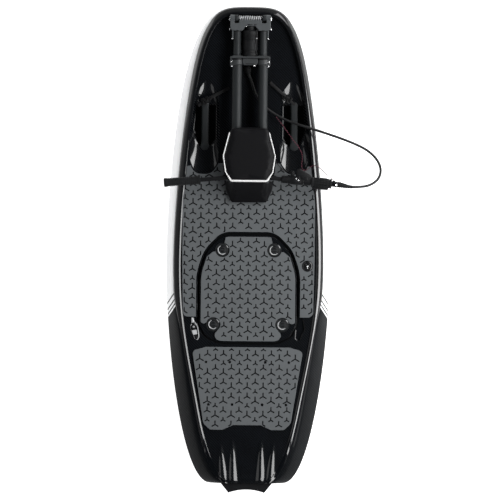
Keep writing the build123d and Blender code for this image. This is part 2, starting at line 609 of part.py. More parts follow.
def make_handlebar():
    head_back, head_front = handlebar_y - head_reach, handlebar_y + head_reach
    head = box(-head_half, head_half, head_back, head_front, head_low_z, head_top_z)
    for side, _ in sides:
        head -= fore_aft(side * tube_x, pivot_z, head_back - 1, head_front + 1, outer_tube_r)
    head -= rod((-high, handlebar_y, handlebar_z), (high, handlebar_y, handlebar_z), handlebar_r)
    path = FilletPolyline(bar_point(handlebar_left), bar_point(-handlebar_bend_x),
                          bar_point(handlebar_bend_x), bar_point(handlebar_right), radius=handlebar_bend_r)
    bar = sweep(Plane(origin=path @ 0, z_dir=path % 0) * Circle(handlebar_r), path=path)
    left_core = along(-handlebar_bend_x, handlebar_left, handlebar_r)
    right_core = along(handlebar_bend_x, handlebar_right, handlebar_r)
    switch_y = handlebar_y + 20
    clamp = along(throttle_clamp_in, throttle_clamp_out, throttle_clamp_r)
    clamp += rod((switch_x, switch_y, handlebar_z - 6), (switch_x, switch_y, handlebar_z + 12), switch_r)
    clamp += box(switch_x - 5, switch_x + 5, handlebar_y - 8, switch_y, handlebar_z - 5, handlebar_z + 5)
    lever_mid = (lever_in + lever_out) / 2
    lever = along(lever_in, lever_out, lever_r)
    lever += box(lever_mid - 8, lever_mid + 8, handlebar_y - 10, handlebar_y + lever_reach,
                 handlebar_z - 5, handlebar_z + 5)
    grip = along(-grip_in, -grip_out, grip_r) + along(-grip_in, -grip_in - collar_long, collar_r)
    return {
        "bar_clamp": head, "handlebar": bar, "grip_left": grip - left_core,
        "throttle_clamp": clamp - right_core, "throttle_lever": lever - right_core,
        "throttle_grip": along(throttle_in, throttle_out, throttle_r) - right_core,
    }


def make_cable_end():
    """The socket in the end of the throttle and the boot that turns the cable out of it."""
    end = throttle_out + socket_long
    bar_way = Vector(*bar_point(end)) - Vector(*bar_point(throttle_out))
    cable_way = Vector(*cable_route[-2]) - Vector(*cable_route[-1])
    mouth = Plane(origin=bar_point(end), z_dir=bar_way) * Circle(socket_r - 1)
    boot = loft([mouth, Plane(origin=cable_route[-1], z_dir=cable_way) * Circle(cable_r + 1)])
    return {"cable_socket": along(throttle_out, end, socket_r), "cable_boot": boot}


def make_chin_pad():
    """A padded wedge over the handlebar clamp: upright in front, raked aft behind."""
    front, back = chin_pad_points[0][1], chin_pad_points[-1][1]
    top = [(x, handlebar_y + y) for x, y in chin_pad_points]
    base = [(x, handlebar_y + y - pad_rake * (front - y) / (front - back)) for x, y in chin_pad_points]
    top_z, base_z = head_top_z + pad_over_head, pivot_z - pad_below_pivot
    pad = loft([mirror_plan(base, chin_pad_radii).moved(Location((0, 0, base_z))),
                mirror_plan(top, chin_pad_radii).moved(Location((0, 0, top_z)))])
    tunnel = tube_x + outer_tube_r + seat
    pad -= box(-tunnel, tunnel, tube_end_y - 5, handlebar_y + front + 18, 0, pivot_z + outer_tube_r + seat)
    room, reach = head_half + seat, head_reach + seat
    pad -= box(-room, room, handlebar_y - reach, handlebar_y + reach, 0, head_top_z + seat)
    slot = handlebar_r + seat
    pad -= box(-2 * room, 2 * room, handlebar_y - slot - 6, handlebar_y + slot + 2, 0, handlebar_z + slot)
    return {"chin_pad": pad}


# --- Cords ----------------------------------------------------------------------------
def corner_radii(points):
    """The largest even rounding that each corner of a cord's route leaves room for."""
    radii = []
    for before, here, after in zip(points, points[1:], points[2:]):
        a = Vector(*here) - Vector(*before)
        b = Vector(*after) - Vector(*here)
        turn = radians(a.get_angle(b))
        radii.append(0.45 * min(a.length, b.length) / tan(turn / 2))
    return radii


def cord(name, points, r):
    radii = corner_radii(points)
    path = FilletPolyline(*points, radius=radii)
    solid = sweep(Plane(origin=path @ 0, z_dir=path % 0) * Circle(r), path=path)
    length = sum(edge.length for edge in path.edges())
    print(name, "length", round(length, 1), "volume ratio", round(solid.volume / (pi * r * r * length), 4))
    print("radii", [round(radius, 1) for radius in radii])
    return {name: solid}


parts = make_hull()
deck, bottom = parts["deck_shell"], parts["hull_bottom"]
parts |= make_engine() | make_pump() | make_grate() | make_fins(bottom) | make_shroud()
parts |= make_pads() | make_hatch() | make_deck_fittings(deck)
parts |= make_pivot(deck) | make_crown() | make_tubes()
parts |= make_handlebar() | make_cable_end() | make_chin_pad()
parts |= cord("throttle_cable", cable_route, cable_r)
parts |= cord("kill_cord", kill_cord_route, thin_cord_r)
parts |= cord("switch_lead", switch_lead_route, thin_cord_r)

os.makedirs("parts", exist_ok=True)
for node, solid in parts.items():
    export_step(solid, f"parts/{node}.step")
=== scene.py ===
"""Jet-powered surfboard: the finished surfaces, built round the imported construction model."""
from math import atan2, ceil, cos, hypot, pi, radians, sin, tan

import bmesh
import bpy
from bpy.props import FloatProperty, FloatVectorProperty, IntProperty, PointerProperty
from mathutils import Matrix, Vector


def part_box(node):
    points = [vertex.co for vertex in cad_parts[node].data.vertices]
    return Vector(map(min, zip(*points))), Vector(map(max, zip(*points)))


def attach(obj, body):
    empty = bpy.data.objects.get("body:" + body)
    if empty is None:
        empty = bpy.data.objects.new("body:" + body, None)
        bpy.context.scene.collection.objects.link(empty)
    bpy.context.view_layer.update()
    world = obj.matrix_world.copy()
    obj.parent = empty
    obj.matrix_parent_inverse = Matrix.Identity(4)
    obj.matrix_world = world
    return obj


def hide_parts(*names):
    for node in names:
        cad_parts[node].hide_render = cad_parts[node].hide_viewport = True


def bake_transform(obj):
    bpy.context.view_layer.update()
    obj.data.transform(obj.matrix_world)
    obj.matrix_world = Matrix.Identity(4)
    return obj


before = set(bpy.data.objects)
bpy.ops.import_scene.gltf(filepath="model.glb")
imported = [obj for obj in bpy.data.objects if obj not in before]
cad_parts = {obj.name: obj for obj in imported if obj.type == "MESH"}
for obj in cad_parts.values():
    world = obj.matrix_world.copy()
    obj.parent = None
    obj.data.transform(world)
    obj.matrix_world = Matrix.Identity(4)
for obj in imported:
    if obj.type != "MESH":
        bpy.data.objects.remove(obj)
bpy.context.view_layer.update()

bl_info = {
    "name": "Jet-powered surfboard",
    "version": (1, 0, 0),
    "blender": (4, 5, 0),
    "location": "3D View > Sidebar > Jet Board",
    "description": "Builds the finished surfaces of a jet-powered surfboard round its construction model",
    "category": "Object",
}

MM = 0.001               # shapes are worked out in millimetres and made in metres


def corners_mm(node):
    """The lowest and highest corner of a construction node, in millimetres."""
    low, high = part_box(node)
    return low / MM, high / MM


DECK_LOW, DECK_HIGH = corners_mm("deck_shell")
LID_LOW, LID_HIGH = corners_mm("hatch_cover")
PAD_HIGH = corners_mm("hatch_pad")[1]
BAR_LOW, BAR_HIGH = corners_mm("grab_bar_right")
CAP_LOW, CAP_HIGH = corners_mm("filler_cap")
CLEAT_LOW = corners_mm("deck_cleat")[0]
SPRING_LOW, SPRING_HIGH = corners_mm("torsion_spring")
PIVOT_LOW, PIVOT_HIGH = corners_mm("pivot_shaft")
CROWN_LOW, CROWN_HIGH = corners_mm("pole_crown")
CLAMP_LOW, CLAMP_HIGH = corners_mm("mid_clamp")
TUBE_LOW, TUBE_HIGH = corners_mm("outer_tube_right")
SLEEVE_LOW, SLEEVE_HIGH = corners_mm("inner_tube_right")
DAMPER_LOW, DAMPER_HIGH = corners_mm("pole_damper")
CHIN_LOW, CHIN_HIGH = corners_mm("chin_pad")

NOSE_Y, TRANSOM_Y = DECK_HIGH.y, DECK_LOW.y
HALF_BEAM = DECK_HIGH.x
FLOOR_Z = LID_HIGH.z                     # the deck amidships
PIVOT = (PIVOT_LOW + PIVOT_HIGH) / 2
TUBE_X = (TUBE_LOW.x + TUBE_HIGH.x) / 2
TUBE_R = (TUBE_HIGH.x - TUBE_LOW.x) / 2
SLEEVE_R = (SLEEVE_HIGH.x - SLEEVE_LOW.x) / 2
BAR_X = (BAR_LOW.x + BAR_HIGH.x) / 2
BAR_Z = (BAR_LOW.z + BAR_HIGH.z) / 2
WIDEST_Y = -60.0
TRANSOM_HALF = 139.0
AFT_FROM, AFT_OVER = -150.0, 200.0       # where the rail begins to change aft, and over how long a stretch
SIDES = ((-1, "left"), (1, "right"))


def look():
    """The sizes and colours that a user sets."""
    return bpy.context.scene.jet_board


# --- Hull lines ---------------------------------------------------------------------------
def smooth(t):
    t = min(max(t, 0.0), 1.0)
    return t * t * (3.0 - 2.0 * t)


def mix(a, b, t):
    return a + (b - a) * t


def half_width(y):
    """Half the beam at a station: one oval forward of the widest station, another aft of it."""
    if y >= WIDEST_Y:
        t = min((y - WIDEST_Y) / (NOSE_Y - WIDEST_Y), 1.0)
        return HALF_BEAM * (1.0 - t**1.71) ** (1 / 3.65)
    t = min((WIDEST_Y - y) / (WIDEST_Y - TRANSOM_Y), 1.0)
    return TRANSOM_HALF + (HALF_BEAM - TRANSOM_HALF) * (1.0 - t**1.67) ** (1 / 2.04)


def crest_z(y):
    """Height of the rail's crest."""
    up = 38.0 * (max(y - 300.0, 0.0) / (NOSE_Y - 300.0)) ** 2
    down = 26.0 * (max(-450.0 - y, 0.0) / (-450.0 - TRANSOM_Y)) ** 2
    return FLOOR_Z + 7.0 + up - down


def well_depth(y):
    """Depth of the deck below the crest, which fades out at the stern."""
    depth = mix(7.0, 22.0, smooth((y - 150.0) / 400.0))
    return depth * smooth((y - (TRANSOM_Y + 77.0)) / 120.0)


def floor_z(y):
    return crest_z(y) - well_depth(y)


def bottom_z(y):
    if y > 0:
        return max(-5.0 + 133.0 * (y / NOSE_Y) ** 3.4, 0.0)
    return max(-5.0 + 29.0 * (y / TRANSOM_Y) ** 4, 0.0)


def chine_z(y):
    return mix(bottom_z(y), crest_z(y), 0.42)


def shoulder(y):
    """How far the rail lies inside the chine."""
    if y > 0:
        return mix(33.0, 6.0, (y / NOSE_Y) ** 3)
    aft = smooth((AFT_FROM - y) / (AFT_FROM - (TRANSOM_Y + 267.0)))
    return min(mix(33.0, 56.0, aft), 0.35 * half_width(y))


# --- Cord routes: the control points of each line, as in the construction model -----------------
CABLE = [
    (-5, 664, 158), (8, 630, 159.5), (19, 592, 158), (44, 552, 157), (86, 518, 158), (138, 491, 161),
    (194, 472, 166), (248, 456, 169), (302, 439, 168), (355, 421, 164), (405, 402, 160), (450, 379, 157),
    (484, 347, 160), (500, 310, 170), (493, 275, 184), (466, 251, 201), (430, 240, 215), (391, 240, 221),
]
KILL_CORD = [
    (101, 503, 167), (122, 476, 162), (145, 445, 156), (167, 414, 151), (187, 392, 148), (200, 366, 148),
    (201, 340, 150), (197, 317, 151), (206, 300, 151.5), (223, 306, 152), (238, 321, 155), (258, 319, 163),
    (280, 300, 176), (301, 280, 195), (318, 265, 216),
]
SWITCH_LEAD = [(99, 333, 228), (110, 319, 219), (124, 306, 213), (139, 297, 213), (154, 292.5, 220)]


# --- Flat outlines --------------------------------------------------------------------------
def rounded(points, radii, step=9.0):
    """An outline whose corners are arcs, with a point for about every step degrees."""
    count = len(points)
    made = []
    for i, (corner, radius) in enumerate(zip(points, radii)):
        here = Vector(corner)
        before = Vector(points[i - 1]) - here
        after = Vector(points[(i + 1) % count]) - here
        inside = before.angle(after)
        if pi - inside < 0.01:
            continue
        if radius <= 0:
            made.append(tuple(here))
            continue
        reach = radius / tan(inside / 2)
        reach = min(reach, 0.49 * before.length, 0.49 * after.length)
        radius = reach * tan(inside / 2)
        start = here + before.normalized() * reach
        end = here + after.normalized() * reach
        centre = here + (before.normalized() + after.normalized()).normalized() * (radius / sin(inside / 2))
        turn = pi - inside
        steps = max(2, ceil(turn / radians(step)))
        a, b = start - centre, end - centre
        sweep = a.angle_signed(b)
        first = atan2(a.y, a.x)
        for k in range(steps + 1):
            angle = first - sweep * k / steps
            made.append((centre.x + radius * cos(angle), centre.y + radius * sin(angle)))
    return made


def mirrored_outline(points, radii, step=9.0):
    """A right-hand outline closed by its mirror image."""
    return rounded(points + [(-x, y) for x, y in reversed(points)], radii + radii[::-1], step)


def circle(x, y, radius, count=40):
    return [(x + radius * cos(2 * pi * i / count), y + radius * sin(2 * pi * i / count)) for i in range(count)]


def area(outline):
    return sum(a[0] * b[1] - b[0] * a[1] for a, b in zip(outline, outline[1:] + outline[:1])) / 2


def grown(outline, distance):
    """An outline moved outwards by a distance, or inwards by a negative one."""
    sense = 1.0 if area(outline) > 0 else -1.0
    made = []
    for i, here in enumerate(outline):
        before, after = outline[i - 1], outline[(i + 1) % len(outline)]
        a = (Vector(here) - Vector(before)).normalized()
        b = (Vector(after) - Vector(here)).normalized()
        side = (a + b).normalized()
        stretch = 1.0 / max(side.dot(a), 0.4)
        made.append((here[0] + sense * side.y * distance * stretch, here[1] - sense * side.x * distance * stretch))
    return made


def lifted(outline, z):
    return [(x, y, z) for x, y in outline]


# --- Solid shapes -----------------------------------------------------------------------------
class Shape:
    """Points in millimetres and the faces between them, before they become a mesh."""

    def __init__(self):
        self.points, self.faces, self.marks = [], [], []

    def loft(self, rings, mark=0, caps=True):
        """A skin over rings of equally many points. mark may be one material or one for each column."""
        base, count = len(self.points), len(rings[0])
        marks = mark if isinstance(mark, list) else [mark] * count
        for ring in rings:
            if len(ring) != count:
                raise RuntimeError("the rings of a loft need equally many points")
            self.points += [tuple(p) for p in ring]
        for k in range(len(rings) - 1):
            for i in range(count):
                a, b = base + k * count + i, base + k * count + (i + 1) % count
                self.faces.append((a, b, b + count, a + count))
                self.marks.append(marks[i])
        if caps:
            last = base + (len(rings) - 1) * count
            self.faces += [tuple(range(base + count - 1, base - 1, -1)), tuple(range(last, last + count))]
            self.marks += [marks[0], marks[0]]
        return self

    def add(self, other, place=None):
        """Adds another shape, or a copy of it that a matrix has placed."""
        base = len(self.points)
        self.points += [tuple(place @ Vector(p)) if place else p for p in other.points]
        self.faces += [tuple(base + i for i in face) for face in other.faces]
        self.marks += other.marks
        return self

    def both_sides(self):
        """Adds the shape's mirror image across the board."""
        return self.add(self.mirrored())

    def mirrored(self):
        other = Shape()
        other.points = [(-x, y, z) for x, y, z in self.points]
        other.faces = [tuple(reversed(face)) for face in self.faces]
        other.marks = list(self.marks)
        return other

    def marked(self, mark):
        self.marks = [mark] * len(self.faces)
        return self


def slab(outline, low, high, edge=1.0, foot=0.0, mark=0, steps=3):
    """An upright prism whose top edge is rounded, and its bottom edge too where foot is given."""
    rings = []
    for k in range(steps if foot else 0, 0, -1):
        a = pi / 2 * k / steps
        rings.append(lifted(grown(outline, -foot * (1 - cos(a))), low + foot * (1 - sin(a))))
    rings.append(lifted(outline, low + foot))
    for k in range(steps + 1 if edge else 1):
        a = pi / 2 * k / steps
        rings.append(lifted(grown(outline, -edge * (1 - cos(a))), high - edge * (1 - sin(a))))
    return Shape().loft(rings, mark)


def block(x0, x1, y0, y1, z0, z1, corner=2.0, edge=1.0, foot=0.0):
    outline = rounded([(x0, y0), (x1, y0), (x1, y1), (x0, y1)], [corner] * 4, 22)
    return slab(outline, z0, z1, edge, foot)


def frame_at(direction):
    """Two unit vectors square to a direction."""
    forward = Vector(direction).normalized()
    aside = forward.cross(Vector((0, 0, 1)))
    if aside.length < 1e-3:
        aside = forward.cross(Vector((0, 1, 0)))
    aside.normalize()
    return aside, aside.cross(forward)


def lathe(profile, start, direction, count=32, mark=0):
    """A turned shape. The profile gives distances along the axis and radii."""
    aside, up = frame_at(direction)
    forward = Vector(direction).normalized()
    rings = []
    for along, radius in profile:
        centre = Vector(start) + forward * along
        rings.append([centre + (aside * cos(2 * pi * i / count) + up * sin(2 * pi * i / count)) * max(radius, 0.01)
                      for i in range(count)])
    return Shape().loft(rings, mark)


def pin(start, end, radius, edge=0.6, count=24, mark=0):
    """A round bar with softened ends."""
    axis = Vector(end) - Vector(start)
    long = axis.length
    profile = [(0, radius - edge), (edge * 0.3, radius - edge * 0.3), (edge, radius),
               (long - edge, radius), (long - edge * 0.3, radius - edge * 0.3), (long, radius - edge)]
    return lathe(profile, start, axis, count, mark)


def pipe(path, radius, count=12, mark=0, closed=False, flat=1.0):
    """A round or flattened bar that follows a path."""
    points = [Vector(p) for p in path]
    radii = radius if isinstance(radius, list) else [radius] * len(points)
    last = len(points) - 1
    aside, up = frame_at(points[1] - points[0])
    rings = []
    for i, (here, r) in enumerate(zip(points, radii)):
        ahead = points[(i + 1) % len(points)] if closed else points[min(i + 1, last)]
        behind = points[i - 1] if closed or i else points[0]
        forward = (ahead - behind).normalized()
        aside = (aside - forward * aside.dot(forward)).normalized()
        up = aside.cross(forward)
        rings.append([here + aside * (r * cos(2 * pi * k / count)) + up * (r * flat * sin(2 * pi * k / count))
                      for k in range(count)])
    if closed:
        rings.append(rings[0])
    return Shape().loft(rings, mark, caps=not closed)


# --- Meshes and pieces ------------------------------------------------------------------------
WELD = 0.01 * MM                         # points nearer than this become one


def finish_mesh(mesh, sharp):
    """Closes seams, points every face outwards and keeps corners over an angle crisp."""
    work = bmesh.new()
    work.from_mesh(mesh)
    bmesh.ops.remove_doubles(work, verts=work.verts, dist=WELD)
    bmesh.ops.dissolve_degenerate(work, edges=work.edges, dist=WELD / 2)
    bmesh.ops.recalc_face_normals(work, faces=work.faces)
    work.to_mesh(mesh)
    work.free()
    mesh.shade_smooth()
    mesh.set_sharp_from_angle(angle=radians(sharp))


def mesh_object(name, shape, materials, sharp=30.0):
    mesh = bpy.data.meshes.new(name)
    mesh.from_pydata([[c * MM for c in p] for p in shape.points], [], shape.faces)
    for material in materials:
        mesh.materials.append(material)
    mesh.polygons.foreach_set("material_index", shape.marks)
    finish_mesh(mesh, sharp)
    piece = bpy.data.objects.new(name, mesh)
    bpy.context.scene.collection.objects.link(piece)
    return piece


def make_piece(name, shape, materials, body, replaces=(), sharp=30.0, rides=True):
    """Makes a shape into a piece that rides on a body."""
    if not shape.faces:
        raise RuntimeError(f"{name} has no faces")
    piece = mesh_object(name, shape, [paint(m) for m in materials], sharp)
    if rides:
        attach(piece, body)
    if replaces:
        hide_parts(*replaces)
    return piece


def settle_normals(piece):
    """Lets the broad faces set the shading, so that they look flat beside rounded edges."""
    weigh = piece.modifiers.new("normals", "WEIGHTED_NORMAL")
    weigh.keep_sharp, weigh.weight = True, 90


def carve(piece, cutters, sharp=30.0):
    """Cuts shapes out of a piece, one after another."""
    for cutter in cutters:
        tool = mesh_object("tool", cutter, list(piece.data.materials), sharp)
        cut = piece.modifiers.new("cut", "BOOLEAN")
        cut.operation, cut.solver, cut.object = "DIFFERENCE", "EXACT", tool
        keep_result(piece)
        tool_mesh = tool.data
        bpy.data.objects.remove(tool)
        bpy.data.meshes.remove(tool_mesh)
    finish_mesh(piece.data, sharp)
    return piece


def evaluated_mesh(thing):
    """A new mesh of what an object's modifiers, or a curve's line, come to."""
    bpy.context.view_layer.update()
    return bpy.data.meshes.new_from_object(thing.evaluated_get(bpy.context.evaluated_depsgraph_get()))


def keep_result(piece):
    """Makes the result of a piece's modifiers its mesh, and takes the modifiers off."""
    done = evaluated_mesh(piece)
    piece.modifiers.clear()
    before, piece.data = piece.data, done
    done.name = piece.name
    bpy.data.meshes.remove(before)


def dress(node, material, bevel):
    """Gives a construction node its finish and softens its edges."""
    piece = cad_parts[node]
    piece.data.materials.clear()
    piece.data.materials.append(paint(material))
    weld = piece.modifiers.new("weld", "WELD")
    weld.merge_threshold = 0.02 * MM
    soften = piece.modifiers.new("soften", "BEVEL")
    soften.width, soften.segments, soften.limit_method = bevel * MM, 2, "ANGLE"
    soften.angle_limit = radians(40)
    soften.harden_normals = True


# --- Materials ------------------------------------------------------------------------------------
class Value:
    """A number inside a node tree. Arithmetic on it adds Math nodes."""

    def __init__(self, nodes, socket):
        self.nodes, self.socket = nodes, socket

    def __add__(self, other):
        return self.nodes.math("ADD", self, other)

    def __sub__(self, other):
        return self.nodes.math("SUBTRACT", self, other)

    def __mul__(self, other):
        return self.nodes.math("MULTIPLY", self, other)

    def __truediv__(self, other):
        return self.nodes.math("DIVIDE", self, other)

    def __rsub__(self, other):
        return self.nodes.math("SUBTRACT", other, self)

    def __gt__(self, other):
        return self.nodes.math("GREATER_THAN", self, other)

    def __lt__(self, other):
        return self.nodes.math("LESS_THAN", self, other)

    __radd__ = __add__
    __rmul__ = __mul__


class Nodes:
    """The nodes of a material or of the world."""

    def __init__(self, owner):
        owner.use_nodes = True
        self.tree = owner.node_tree

    def node(self, kind, settings=None, inputs=None, output=0):
        """Adds a node: its settings first, then the values or links of its sockets."""
        made = self.tree.nodes.new(kind)
        for key, value in (settings or {}).items():
            if key == "stops":
                while len(made.color_ramp.elements) < len(value):
                    made.color_ramp.elements.new(1.0)
                for element, (position, shade) in zip(made.color_ramp.elements, value):
                    element.position, element.color = position, (*shade, 1.0)
            else:
                setattr(made, key, value)
        for key, value in (inputs or {}).items():
            self.feed(made.inputs[key], value)
        return Value(self, made.outputs[output])

    def feed(self, socket, value):
        if isinstance(value, Value):
            self.tree.links.new(value.socket, socket)
        elif socket.type == "RGBA":
            socket.default_value = (*value, 1.0)
        else:
            socket.default_value = value

    def math(self, operation, *values):
        return self.node("ShaderNodeMath", {"operation": operation}, dict(enumerate(values)))


class Surface(Nodes):
    """One material: a Principled shader and the nodes that feed it."""

    def __init__(self, name, color, roughness, metallic=0.0, coat=0.0, coat_roughness=0.03, specular=0.5):
        self.material = bpy.data.materials.new(f"board_{name}")
        super().__init__(self.material)
        self.shader = self.tree.nodes["Principled BSDF"]
        for socket, value in {"Base Color": color, "Roughness": roughness, "Metallic": metallic,
                              "Coat Weight": coat, "Coat Roughness": coat_roughness,
                              "Specular IOR Level": specular}.items():
            self.feed(self.shader.inputs[socket], value)

    def between(self, value, low, high):
        """1 where a value lies between two bounds, and 0 elsewhere."""
        return (value > low) * (value < high)

    def blend(self, share, a, b):
        """A colour between two colours."""
        settings = {"data_type": "RGBA", "clamp_factor": True}
        return self.node("ShaderNodeMix", settings, {0: share, 6: a, 7: b}, output=2)

    def place(self):
        """Object coordinates in millimetres, as three numbers."""
        where = self.node("ShaderNodeTexCoord", output=3)
        big = self.node("ShaderNodeVectorMath", {"operation": "SCALE"}, {0: where, 3: 1 / MM})
        return [self.node("ShaderNodeSeparateXYZ", {}, {0: big}, output=i) for i in range(3)]

    def noise(self, size, detail=2.0, stretch=None):
        """Cloudy noise from 0 to 1, with spots of about a size in millimetres."""
        where = self.node("ShaderNodeTexCoord", output=3)
        if stretch:
            where = self.node("ShaderNodeVectorMath", {"operation": "MULTIPLY"}, {0: where, 1: stretch})
        return self.node("ShaderNodeTexNoise", {}, {"Vector": where, "Scale": 1 / (size * MM), "Detail": detail})

    def bump(self, height, depth, strength=1.0):
        """Relief from a height from 0 to 1, with a depth in millimetres."""
        bump = self.node("ShaderNodeBump", {}, {"Height": height, "Distance": depth * MM, "Strength": strength})
        self.feed(self.shader.inputs["Normal"], bump)

    def set(self, **sockets):
        for name, value in sockets.items():
            self.feed(self.shader.inputs[name.replace("_", " ").title()], value)
        return self


def tint(color, factor):
    return tuple(min(c * factor, 1.0) for c in color)


GLOSS_BLACK = (0.006, 0.0065, 0.0075)
TOW_SHINE = 11.0                         # how much lighter a tow is where it catches the light


def twill(surface, x, y, tow):
    """A two-by-two twill: 1 where a lengthwise tow lies on top, and the rounding of each tow."""
    across, along = x / tow, y / tow
    step = surface.math("FLOORED_MODULO", surface.math("FLOOR", across) + surface.math("FLOOR", along), 4.0)
    over = step < 2.0
    bulge_a = surface.math("ABSOLUTE", surface.math("FRACT", across) - 0.5)
    bulge_b = surface.math("ABSOLUTE", surface.math("FRACT", along) - 0.5)
    return over, 1.0 - 2.0 * (over * bulge_a + (1.0 - over) * bulge_b)


def weave(surface):
    """The carbon's twill: where a tow lies on top, its rounding, and the colour, with a painted sheen on the rounded
    tops of the tows and a slow drift of tone.
    """
    dark = tuple(look().carbon_color)
    x, y, _ = surface.place()
    over, bulge = twill(surface, x, y, look().tow_width / MM)
    # painted sheen: the middle of each tow that lies on top is made lighter, as if it caught the light; the noise
    # adds a slow drift of tone
    shade = over * bulge * 0.8 + surface.noise(60.0) * 0.3 - 0.05
    return over, bulge, surface.blend(shade, dark, tint(dark, TOW_SHINE))


def carbon():
    """Lacquered carbon twill under a clear gloss coat, whose fine diagonal sparkle is painted sheen on the tows."""
    surface = Surface("carbon", tuple(look().carbon_color), 0.3, coat=1.0, specular=0.1)
    over, bulge, tone = weave(surface)
    surface.set(base_color=tone, roughness=0.42 - over * 0.14)
    surface.bump(bulge, 0.05, 0.3)
    return surface


SLANT_X, SLANT = 278.0, 1.5              # where the slanting lines' stations are measured, and their slope
FLANK_LINES = ((-168.0, -161.0), (-194.0, -187.0), (-213.0, -206.0))
FLANK_END = -222.0


def flank():
    """White gloss flanks that give way to carbon aft, behind three thin lines that slant aft and outwards."""
    white = tuple(look().flank_color)
    surface = Surface("flank", white, 0.3, coat=0.6, coat_roughness=0.04, specular=0.03)
    x, y, _ = surface.place()
    station = y + (surface.math("ABSOLUTE", x) - SLANT_X) * SLANT
    black = station < FLANK_END
    for low, high in FLANK_LINES:
        black = black + surface.between(station, low, high)
    black = surface.math("MINIMUM", black, 1.0)
    # the black parts take the carbon's colour, with its painted sheen on the tows
    _, _, tone = weave(surface)
    paint_tone = surface.blend(surface.noise(150.0), tint(white, 0.97), white)
    return surface.set(base_color=surface.blend(black, paint_tone, tone), coat_weight=0.62 - black * 0.54,
                       roughness=0.3 + black * 0.2)


def gloss_black():
    surface = Surface("gloss_black", GLOSS_BLACK, 0.16, coat=1.0, coat_roughness=0.02)
    return surface.set(roughness=0.12 + surface.noise(25.0) * 0.08)


def rail():
    """Gloss black rails, which show the twill of the carbon, with its painted tow sheen, towards the stern."""
    surface = Surface("rail", tuple(look().carbon_color), 0.16, coat=1.0, coat_roughness=0.02, specular=0.2)
    _, y, _ = surface.place()
    aft = surface.math("MINIMUM", surface.math("MAXIMUM", (AFT_FROM - y) / AFT_OVER, 0.0), 1.0)
    _, _, tone = weave(surface)
    return surface.set(base_color=surface.blend(aft, GLOSS_BLACK, tone),
                       roughness=0.14 + surface.noise(25.0) * 0.08)


def bottom():
    dark = (0.010, 0.0105, 0.012)
    surface = Surface("bottom", dark, 0.25, coat=0.8, coat_roughness=0.05)
    return surface.set(roughness=0.2 + surface.noise(8.0, 4.0) * 0.14,
                       base_color=surface.blend(surface.noise(90.0), dark, tint(dark, 1.8)))


def foam():
    """Closed-cell foam with a fine pebbled skin, a little scuffed."""
    color = tuple(look().foam_color)
    surface = Surface("foam", color, 0.78, specular=0.3)
    grain = surface.noise(1.3, 1.0)
    tone = surface.noise(70.0, 3.0) * 0.6 + grain * 0.4
    surface.set(base_color=surface.blend(tone, tint(color, 0.86), tint(color, 1.12)), roughness=0.7 + grain * 0.16)
    surface.bump(grain, 0.18, 0.5)
    return surface


# Near-black matt paint that stands for shade: painted shade in the pads' grooves, the crown's slits, the hatch's seam
# and on the pin inside the spring.
def groove():
    color = (0.004, 0.0043, 0.0048)
    surface = Surface("groove", color, 0.85, specular=0.1)
    return surface.set(base_color=surface.blend(surface.noise(1.3, 1.0), color, tint(color, 1.7)))


def brushed(name, color, rough, metallic, stretch, specular=0.5):
    """Metal with fine lines drawn out along one way and small changes of tone."""
    surface = Surface(name, color, rough, metallic, specular=specular)
    lines = surface.noise(1.2, 3.0, stretch)
    tone = lines * 0.5 + surface.noise(30.0, 3.0) * 0.5
    surface.set(base_color=surface.blend(tone, tint(color, 0.82), tint(color, 1.2)),
                roughness=rough - 0.06 + lines * 0.14)
    surface.bump(lines, 0.02, 0.4)
    return surface


def cast(name, share):
    """Cast alloy under a thin satin paint, pebbled, with a slow change of tone."""
    color = tint(tuple(look().cast_color), share)
    surface = Surface(name, color, 0.52, specular=0.35)
    grain = surface.noise(1.6, 3.0)
    surface.set(base_color=surface.blend(surface.noise(20.0, 3.0), tint(color, 0.85), tint(color, 1.15)),
                roughness=0.46 + grain * 0.14)
    surface.bump(grain, 0.08, 0.5)
    return surface


def chrome():
    surface = Surface("chrome", (0.82, 0.83, 0.84), 0.08, 1.0)
    return surface.set(roughness=0.06 + surface.noise(6.0, 3.0) * 0.1)


def silver():
    """Bright silver paint, which also draws the painted reflections on the latch knobs."""
    surface = Surface("silver", (0.5, 0.51, 0.52), 0.35, specular=0.5)
    return surface.set(base_color=surface.blend(surface.noise(4.0), (0.42, 0.43, 0.44), (0.54, 0.55, 0.56)))


def plastic():
    """Moulded black plastic with a fine spark texture."""
    color = (0.0045, 0.0048, 0.0055)
    surface = Surface("plastic", color, 0.42, specular=0.2)
    grain = surface.noise(0.9, 2.0)
    surface.set(base_color=surface.blend(surface.noise(25.0), color, tint(color, 1.6)), roughness=0.34 + grain * 0.18)
    surface.bump(grain, 0.04, 0.5)
    return surface


def rubber():
    """Matt black rubber with a bloom of paler dust."""
    color = (0.0034, 0.0037, 0.0042)
    surface = Surface("rubber", color, 0.62, specular=0.2)
    grain = surface.noise(2.2, 3.0)
    surface.set(base_color=surface.blend(grain * 0.6 + surface.noise(18.0) * 0.4, color, tint(color, 2.2)),
                roughness=0.52 + grain * 0.22)
    surface.bump(grain, 0.1, 0.6)
    return surface


def cover():
    """Coated cloth stretched over foam: a fine plain weave with a dull sheen."""
    color = tuple(look().cover_color)
    surface = Surface("cover", color, 0.58, specular=0.16)
    x, y, _ = surface.place()
    rib_a = surface.math("ABSOLUTE", surface.math("SINE", x * (pi / 0.9)))
    rib_b = surface.math("ABSOLUTE", surface.math("SINE", y * (pi / 0.9)))
    rib = rib_a * rib_b
    surface.set(base_color=surface.blend(rib * 0.6 + surface.noise(40.0) * 0.4, tint(color, 0.8), tint(color, 1.3)),
                roughness=0.5 + rib * 0.14)
    surface.bump(rib, 0.06, 0.5)
    return surface


def piping():
    color = tuple(look().piping_color)
    surface = Surface("piping", color, 0.4)
    return surface.set(base_color=surface.blend(surface.noise(12.0, 3.0), tint(color, 0.9), color))


